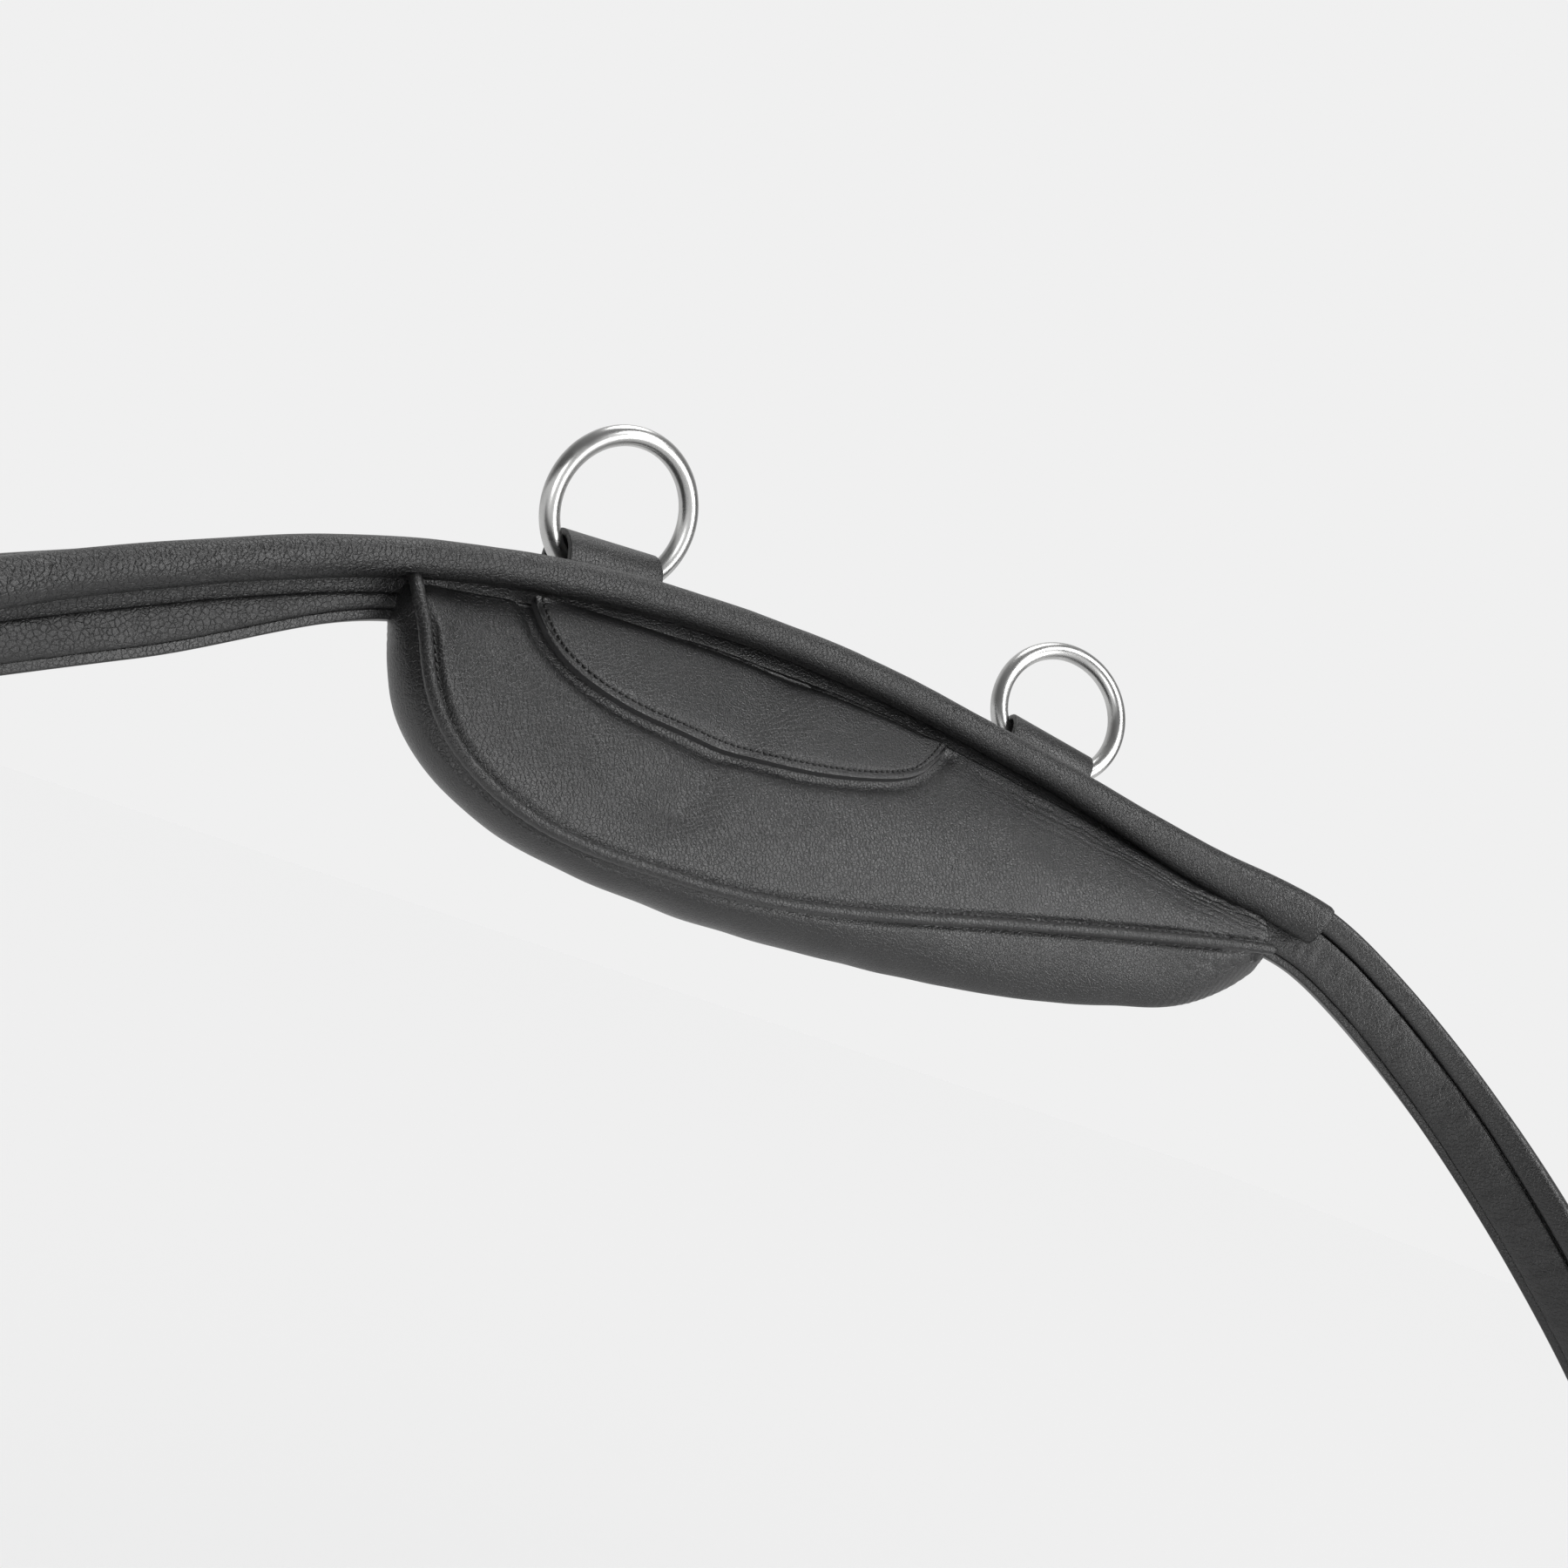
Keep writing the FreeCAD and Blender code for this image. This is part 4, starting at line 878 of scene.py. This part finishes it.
class PipingOperator(bpy.types.Operator):
    """Makes the piped cord along the pad's front seam."""
    bl_idname = "neck_strap.piping"
    bl_label = "Piping"

    def execute(self, context):
        radius = pad().piping / 2
        share = np.linspace(0, 1, 300)
        front, _, outward = rim_curves(share)
        _, out_way = panel_axes()
        path = Spline(front + out_way * (radius * 0.7) + outward * (radius * 0.6))
        u = path.even(0.9)
        place, run = path.at(u)
        side = unit(np.cross(run, np.broadcast_to(out_way, run.shape)))
        lift = np.cross(side, run)
        around = 20
        rows = []
        for row in range(len(u)):
            ends = min(row, len(u) - 1 - row)
            size = radius * min(1.0, 0.35 + 0.3 * ends) * (1 + 0.04 * math.sin(u[row] * 2.24))
            angles = 2 * math.pi * np.arange(around) / around
            rows.append(place[row] + size * (np.cos(angles)[:, None] * side[row]
                                             + np.sin(angles)[:, None] * lift[row]))
        faces = grid_faces(len(u), around, close=True)
        faces.append(tuple(range(around)))
        faces.append(tuple((len(u) - 1) * around + k for k in range(around)))
        piece = new_piece("welt_cord", np.concatenate(rows), faces, material("nappa"))
        attach(piece, LEATHERWORK, "leather", "welt_piping")
        return {"FINISHED"}


def surface_tree(mesh):
    """A tree of a finished mesh's faces, for casting rays at it."""
    return BVHTree.FromPolygons([v.co for v in mesh.vertices],
                                [p.vertices for p in mesh.polygons])


class PatchOperator(bpy.types.Operator):
    """Makes the firm half-moon sewn on the front panel."""
    bl_idname = "neck_strap.patch"
    bl_label = "Half-moon patch"

    def execute(self, context):
        line = NeckLine()
        edge = Spline(PATCH_EDGE)
        places = edge.at(edge.even(1.0))[0]
        top, _ = upper_seam(line, places[:, 0])
        shares = np.linspace(0, 1, 26)
        drop = top[:, None] + 1.0 + (places[:, 1] - top - 1.0)[:, None] * shares
        x = np.broadcast_to(places[:, :1], drop.shape)
        _, out_way = panel_axes()
        start = panel_point(x, drop, 40.0).reshape(-1, 3)
        pad_mesh = bpy.data.objects["wither_pad"].data
        tree = surface_tree(pad_mesh)
        thick = pad().patch
        under = []
        for point in start:
            hit = tree.ray_cast(Vector(point) * MM, Vector(-out_way))[0]
            under.append(np.array(hit) / MM if hit else point - out_way * 40)
        under = np.array(under).reshape(drop.shape + (3,))
        # The firm leather bridges the panel's small folds.
        for _ in range(12):
            under[1:-1, 1:-1] = (under[1:-1, 1:-1] * 2 + under[:-2, 1:-1] + under[2:, 1:-1]
                                 + under[1:-1, :-2] + under[1:-1, 2:]) / 6
        row_numbers = np.arange(len(places))
        ends = np.minimum(row_numbers, row_numbers[::-1])[:, None]
        height = thick * np.ones_like(drop)
        groove = np.abs((1 - shares)[None, :] * (places[:, 1] - top)[:, None] - 2.0)
        height = height - 0.3 * np.exp(-(groove / 0.5) ** 2)
        height = np.where(ends < 1, thick * 0.75, height)
        near_edge = (1 - shares)[None, :] * (places[:, 1] - top)[:, None]
        height = height + 0.5 * np.exp(-(near_edge / 1.6) ** 2)
        height[:, -1] -= 0.25
        upper = under + height[..., None] * out_way
        lower = under - 0.3 * out_way
        rows, columns = drop.shape
        points = np.concatenate([upper.reshape(-1, 3), lower.reshape(-1, 3)])
        faces = grid_faces(rows, columns) + grid_faces(rows, columns, rows * columns)
        second = rows * columns
        border = [k for k in range(columns)]
        border += [r * columns + columns - 1 for r in range(1, rows)]
        border += [(rows - 1) * columns + k for k in range(columns - 2, -1, -1)]
        border += [r * columns for r in range(rows - 2, 0, -1)]
        for a, b in zip(border, border[1:] + border[:1]):
            faces.append((a, b, second + b, second + a))
        piece = new_piece("half_moon", points, faces, material("firm"))
        piece.data.materials.append(material("edge"))
        for polygon in list(piece.data.polygons)[-len(border):]:
            polygon.material_index = 1
        piece.data.set_sharp_from_angle(angle=math.radians(50))
        attach(piece, LEATHERWORK, "leather", "half_moon_patch")
        return {"FINISHED"}


def stitch_tree():
    """Geometry nodes that sew along the edges of a mesh whose points carry an "up" direction."""
    tree = bpy.data.node_groups.new("stitch_row", "GeometryNodeTree")
    for name, kind in (("Path", "Geometry"), ("Pitch", "Float"), ("Length", "Float"),
                       ("Thickness", "Float"), ("Slant", "Float"), ("Unevenness", "Float"),
                       ("Seed", "Int"), ("Thread", "Material")):
        tree.interface.new_socket(name, in_out="INPUT", socket_type="NodeSocket" + kind)
    tree.interface.new_socket("Stitches", in_out="OUTPUT", socket_type="NodeSocketGeometry")
    given = add_node(tree, "NodeGroupInput").outputs
    curve = add_node(tree, "GeometryNodeMeshToCurve", links={"Mesh": given["Path"]})
    spots = add_node(tree, "GeometryNodeCurveToPoints", {"mode": "LENGTH"},
                     links={"Curve": curve.outputs["Curve"], "Length": given["Pitch"]})
    up = add_node(tree, "GeometryNodeInputNamedAttribute", {"data_type": "FLOAT_VECTOR"},
                  {"Name": "up"})
    stand = add_node(tree, "FunctionNodeAlignRotationToVector", {"axis": "Z"},
                     links={"Vector": up.outputs["Attribute"]})
    along = add_node(tree, "FunctionNodeAlignRotationToVector", {"axis": "X", "pivot_axis": "Z"},
                     links={"Rotation": stand.outputs["Rotation"],
                            "Vector": spots.outputs["Tangent"]})
    least = add_node(tree, "ShaderNodeMath", {"operation": "SUBTRACT"},
                     links={0: given["Slant"], 1: given["Unevenness"]})
    most = add_node(tree, "ShaderNodeMath", {"operation": "ADD"},
                    links={0: given["Slant"], 1: given["Unevenness"]})
    angle = add_node(tree, "FunctionNodeRandomValue", {"data_type": "FLOAT"},
                     links={2: least.outputs["Value"], 3: most.outputs["Value"],
                            "Seed": given["Seed"]})
    spin = add_node(tree, "ShaderNodeCombineXYZ", links={"Z": angle.outputs[1]})
    turned = add_node(tree, "FunctionNodeRotateRotation", {"rotation_space": "LOCAL"},
                      links={"Rotation": along.outputs["Rotation"],
                             "Rotate By": spin.outputs["Vector"]})
    bead = add_node(tree, "GeometryNodeMeshUVSphere",
                    inputs={"Segments": 8, "Rings": 6, "Radius": 0.5})
    scale = add_node(tree, "ShaderNodeCombineXYZ",
                     links={"X": given["Length"], "Y": given["Thickness"],
                            "Z": given["Thickness"]})
    thread = add_node(tree, "GeometryNodeTransform",
                      links={"Geometry": bead.outputs["Mesh"], "Scale": scale.outputs["Vector"]})
    sewn = add_node(tree, "GeometryNodeInstanceOnPoints",
                    links={"Points": spots.outputs["Points"],
                           "Instance": thread.outputs["Geometry"],
                           "Rotation": turned.outputs["Rotation"]})
    real = add_node(tree, "GeometryNodeRealizeInstances",
                    links={"Geometry": sewn.outputs["Instances"]})
    smooth = add_node(tree, "GeometryNodeSetShadeSmooth",
                      links={"Geometry": real.outputs["Geometry"]})
    dyed = add_node(tree, "GeometryNodeSetMaterial",
                    links={"Geometry": smooth.outputs["Geometry"], "Material": given["Thread"]})
    add_node(tree, "NodeGroupOutput", links={"Stitches": dyed.outputs["Geometry"]})
    return tree


def sew(name, rows, pitch, slant=0.0, length=0.78):
    """One piece of stitches along rows, each a pair of points and surface directions."""
    points, ups, edges = [], [], []
    for places, directions in rows:
        first = len(points)
        points += list(places)
        ups += list(directions)
        edges += [(first + k, first + k + 1) for k in range(len(places) - 1)]
    mesh = bpy.data.meshes.new(name)
    mesh.from_pydata((np.array(points) * MM).tolist(), edges, [])
    mesh.attributes.new("up", "FLOAT_VECTOR", "POINT").data.foreach_set(
        "vector", np.array(ups, float).ravel())
    piece = bpy.data.objects.new(name, mesh)
    bpy.context.scene.collection.objects.link(piece)
    tree = bpy.data.node_groups.get("stitch_row") or stitch_tree()
    sewing = piece.modifiers.new("Sewing", "NODES")
    sewing.node_group = tree
    values = {"Pitch": pitch * MM, "Length": pitch * length * MM,
              "Thickness": stitching().thread * MM, "Slant": slant, "Unevenness": 0.06,
              "Seed": stitching().seed, "Thread": material("thread")}
    for item in tree.interface.items_tree:
        if item.name in values:
            sewing[item.identifier] = values[item.name]
    finish_modifiers(piece)
    return attach(piece, LEATHERWORK, "leather")


def drape(points, name, lift, way=None):
    """Points laid on a finished piece, and the directions the surface faces there.

    They go along way, or to the nearest place."""
    mesh = bpy.data.objects[name].data
    tree = surface_tree(mesh)
    places, ways = [], []
    for point in points:
        spot = Vector(point) * MM
        place, facing, _, _ = tree.find_nearest(spot)
        if way is not None:
            hit, hit_facing, _, _ = tree.ray_cast(spot - Vector(way) * 0.03, Vector(way))
            if hit:
                place, facing = hit, hit_facing
        places.append(np.array(place) / MM + np.array(facing) * lift)
        ways.append(np.array(facing))
    return np.array(places), np.array(ways)


def inside_of(points, distance):
    """(x, drop) points moved up and inwards from a lower edge by a distance."""
    edge = Spline(points)
    place, run = edge.at(edge.even(1.0))
    return place + np.stack([run[:, 1], -run[:, 0]], -1) * distance


class StitchOperator(bpy.types.Operator):
    """Sews the patch, the pad's front seam and two rows along the strap."""
    bl_idname = "neck_strap.stitches"
    bl_label = "Stitches"

    def execute(self, context):
        line = NeckLine()
        sizes = stitching()
        rest = sizes.thread * 0.22
        radius, face = strap().roll_height / 2, -strap().roll_depth / 2 - 0.15
        foot = -radius + 0.3 + strap().width

        _, out_way = panel_axes()
        edge = inside_of(PATCH_EDGE, 2.0)
        edge = edge[edge[:, 1] > upper_seam(line, edge[:, 0])[0] + 1.5]
        row = drape(panel_point(edge[:, 0], edge[:, 1], 3.5), "half_moon", rest, -out_way)
        sew("patch_stitches", [row], sizes.fine)

        seam = inside_of(WELT, 1.1)[4:-4]
        row = drape(panel_point(seam[:, 0], seam[:, 1], 1.0), "wither_pad", rest, -out_way)
        sew("seam_stitches", [row], sizes.pitch, slant=0.45)

        frames = line.frames(np.linspace(3, line.length - 3, 700))
        back = face - strap().thick
        rows = []
        for down in (-radius + 2.6, foot - 2.2):
            spots = place_profile(frames, [(down, back - 0.5)])[:, 0]
            if down > 0:
                spots = spots - frames[2] * narrowing(frames)[:, None]
            rows.append(drape(spots, "neck_strap_leather", rest))
        sew("strap_stitches", rows, sizes.pitch * 1.2)
        return {"FINISHED"}


class RingOperator(bpy.types.Operator):
    """Makes the two standing O-rings and the chest ring."""
    bl_idname = "neck_strap.rings"
    bl_label = "Steel rings"

    def execute(self, context):
        for node, body in (("ring_left", "left_ring"), ("ring_right", "right_ring"),
                           ("chest_ring", "lower_ring")):
            points = np.array([v.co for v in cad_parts[node].data.vertices]) / MM
            centre = (points.max(0) + points.min(0)) / 2
            spread = np.linalg.svd(points - centre, full_matrices=False)[2]
            across, along, normal = spread
            reach = np.linalg.norm(points - centre, axis=1).max()
            wire = np.abs((points - centre) @ normal).max()
            rows = []
            for k in range(144):
                angle = 2 * math.pi * k / 144
                ray = across * math.cos(angle) + along * math.sin(angle)
                spin = 2 * math.pi * np.arange(32) / 32
                rows.append(centre + ray * (reach - wire) + wire * (
                    np.cos(spin)[:, None] * ray + np.sin(spin)[:, None] * normal))
            count = 32
            points = np.concatenate(rows + rows[:1])
            faces = []
            for k in range(144):
                for j in range(count):
                    a, b = k * count + j, k * count + (j + 1) % count
                    after = ((k + 1) % 144) * count
                    faces.append((a, b, after + (j + 1) % count, after + j))
            piece = new_piece("polished_" + node, points[:144 * count], faces, material("steel"))
            attach(piece, body, "steel", node)
        return {"FINISHED"}


def sag(piece, x):
    """Wears the top of a ring's chape down in the middle, its two ears standing up."""
    line = NeckLine()
    place, run, hang, _ = (part[0] for part in line.frames(line.measure_at(x)))
    work = bmesh.new()
    work.from_mesh(piece.data)
    for step in np.linspace(-12, 12, 17):
        everything = work.verts[:] + work.edges[:] + work.faces[:]
        bmesh.ops.bisect_plane(work, geom=everything, plane_co=Vector((place + run * step) * MM),
                               plane_no=Vector(run))
    top = min((np.array(v.co) / MM - place) @ hang for v in work.verts)
    for vertex in work.verts:
        away = np.array(vertex.co) / MM - place
        outer = away @ hang < top + 1.0
        drop = 0.9 * math.exp(-((away @ run - 2.0) / 7.5) ** 2) * outer
        vertex.co += Vector(hang * drop * MM)
    work.to_mesh(piece.data)
    work.free()


class FittingOperator(bpy.types.Operator):
    """Makes buckles, keepers, chapes and the chest straps from their CAD solids."""
    bl_idname = "neck_strap.fittings"
    bl_label = "Buckles, keepers and chapes"

    def execute(self, context):
        for side in SIDES:
            steel = (("buckle_frame_", side + "_buckle", 0.9),
                     ("buckle_tongue_", side + "_tongue", 0.5))
            for stem, body, bevel in steel:
                piece = refine(stem + side, "polished_" + stem + side, material("steel"), bevel)
                attach(piece, body, "steel", stem + side)
            soft = (("ring_chape_", LEATHERWORK, 0.4), ("buckle_chape_", LEATHERWORK, 0.5),
                    ("fixed_keeper_", LEATHERWORK, 0.5), ("sliding_keeper_", side + "_keeper", 0.5),
                    ("chest_strap_", LEATHERWORK, 0.7), ("chest_chape_", LEATHERWORK, 0.5))
            for stem, body, bevel in soft:
                piece = refine(stem + side, "leather_" + stem + side, material("firm"), bevel)
                if stem + side == "ring_chape_left":
                    sag(piece, -63.5)
                attach(piece, body, "leather", stem + side)
        return {"FINISHED"}


class StageOperator(bpy.types.Operator):
    """Makes the floor, the soft light and the camera."""
    bl_idname = "neck_strap.stage"
    bl_label = "Stage"

    def execute(self, context):
        scene = context.scene
        scene.view_settings.view_transform = "Standard"
        low = CAD_BOX[0]
        mesh = bpy.data.meshes.new("floor")
        half = 8.0
        level = low[2] - 0.02
        mesh.from_pydata([(-half, -half, level), (half, -half, level), (half, half, level),
                          (-half, half, level)], [], [(0, 1, 2, 3)])
        floor = bpy.data.objects.new("floor", mesh)
        scene.collection.objects.link(floor)
        mesh.materials.append(material("paper"))
        scene.world = make_studio()

        # Soft boxes light the shine of leather and steel; the studio's even glow lights the rest.
        lights = (("key", (0.34, -0.62, 0.52), 0.40, 3.3), ("top", (-0.10, 0.05, 0.95), 0.60, 3.4),
                  ("low", (-0.28, -0.80, -0.20), 0.40, 1.5),
                  ("right", (0.70, -0.68, 0.06), 0.60, 5.0))
        for name, place, size, power in lights:
            data = bpy.data.lights.new(name, "AREA")
            data.shape = "DISK"
            data.size = size
            data.energy = power
            lamp = bpy.data.objects.new(name, data)
            lamp.location = place
            aim = Vector((0, 0, 0)) - Vector(place)
            lamp.rotation_euler = aim.to_track_quat("-Z", "Y").to_euler()
            lamp.visible_diffuse = False
            scene.collection.objects.link(lamp)

        data = bpy.data.cameras.new("camera")
        data.lens = 30.0
        data.sensor_width = 36.0
        data.clip_start = 0.01
        camera = bpy.data.objects.new("camera", data)
        view = Vector((0.3769, 0.9151, 0.1433)).normalized()
        upward = Vector((-0.3554, 0.0, 0.9347))
        right = view.cross(upward).normalized()
        upward = right.cross(view)
        turned = Matrix((right, upward, -view)).transposed().to_4x4()
        camera.matrix_world = Matrix.Translation(Vector((-131.6, -300.7, -56.8)) * MM) @ turned
        scene.collection.objects.link(camera)
        scene.camera = camera
        return {"FINISHED"}


class NeckStrapPanel(bpy.types.Panel):
    """Lists the pieces of the neck strap."""
    bl_idname = "VIEW3D_PT_neck_strap"
    bl_label = "Neck Strap"
    bl_space_type = "VIEW_3D"
    bl_region_type = "UI"
    bl_category = "Neck Strap"

    def draw(self, context):
        for operator in OPERATORS:
            self.layout.operator(operator.bl_idname)


GROUPS = {"neck_strap_sizes": StrapSizes, "wither_pad_sizes": PadSizes,
          "stitch_sizes": StitchSizes, "leather_finishes": Finishes}
OPERATORS = [StageOperator, StrapOperator, RollOperator, PadOperator, PipingOperator,
             PatchOperator, RingOperator, FittingOperator, StitchOperator]


def register():
    for kind in list(GROUPS.values()) + OPERATORS + [NeckStrapPanel]:
        bpy.utils.register_class(kind)
    for name, group in GROUPS.items():
        setattr(bpy.types.Scene, name, bpy.props.PointerProperty(type=group))


def unregister():
    for name in GROUPS:
        delattr(bpy.types.Scene, name)
    for kind in [NeckStrapPanel] + OPERATORS[::-1] + list(GROUPS.values()):
        bpy.utils.unregister_class(kind)


def main():
    register()
    for operator in OPERATORS:
        group, name = operator.bl_idname.split(".")
        getattr(getattr(bpy.ops, group), name)()


if __name__ == "__main__":
    main()
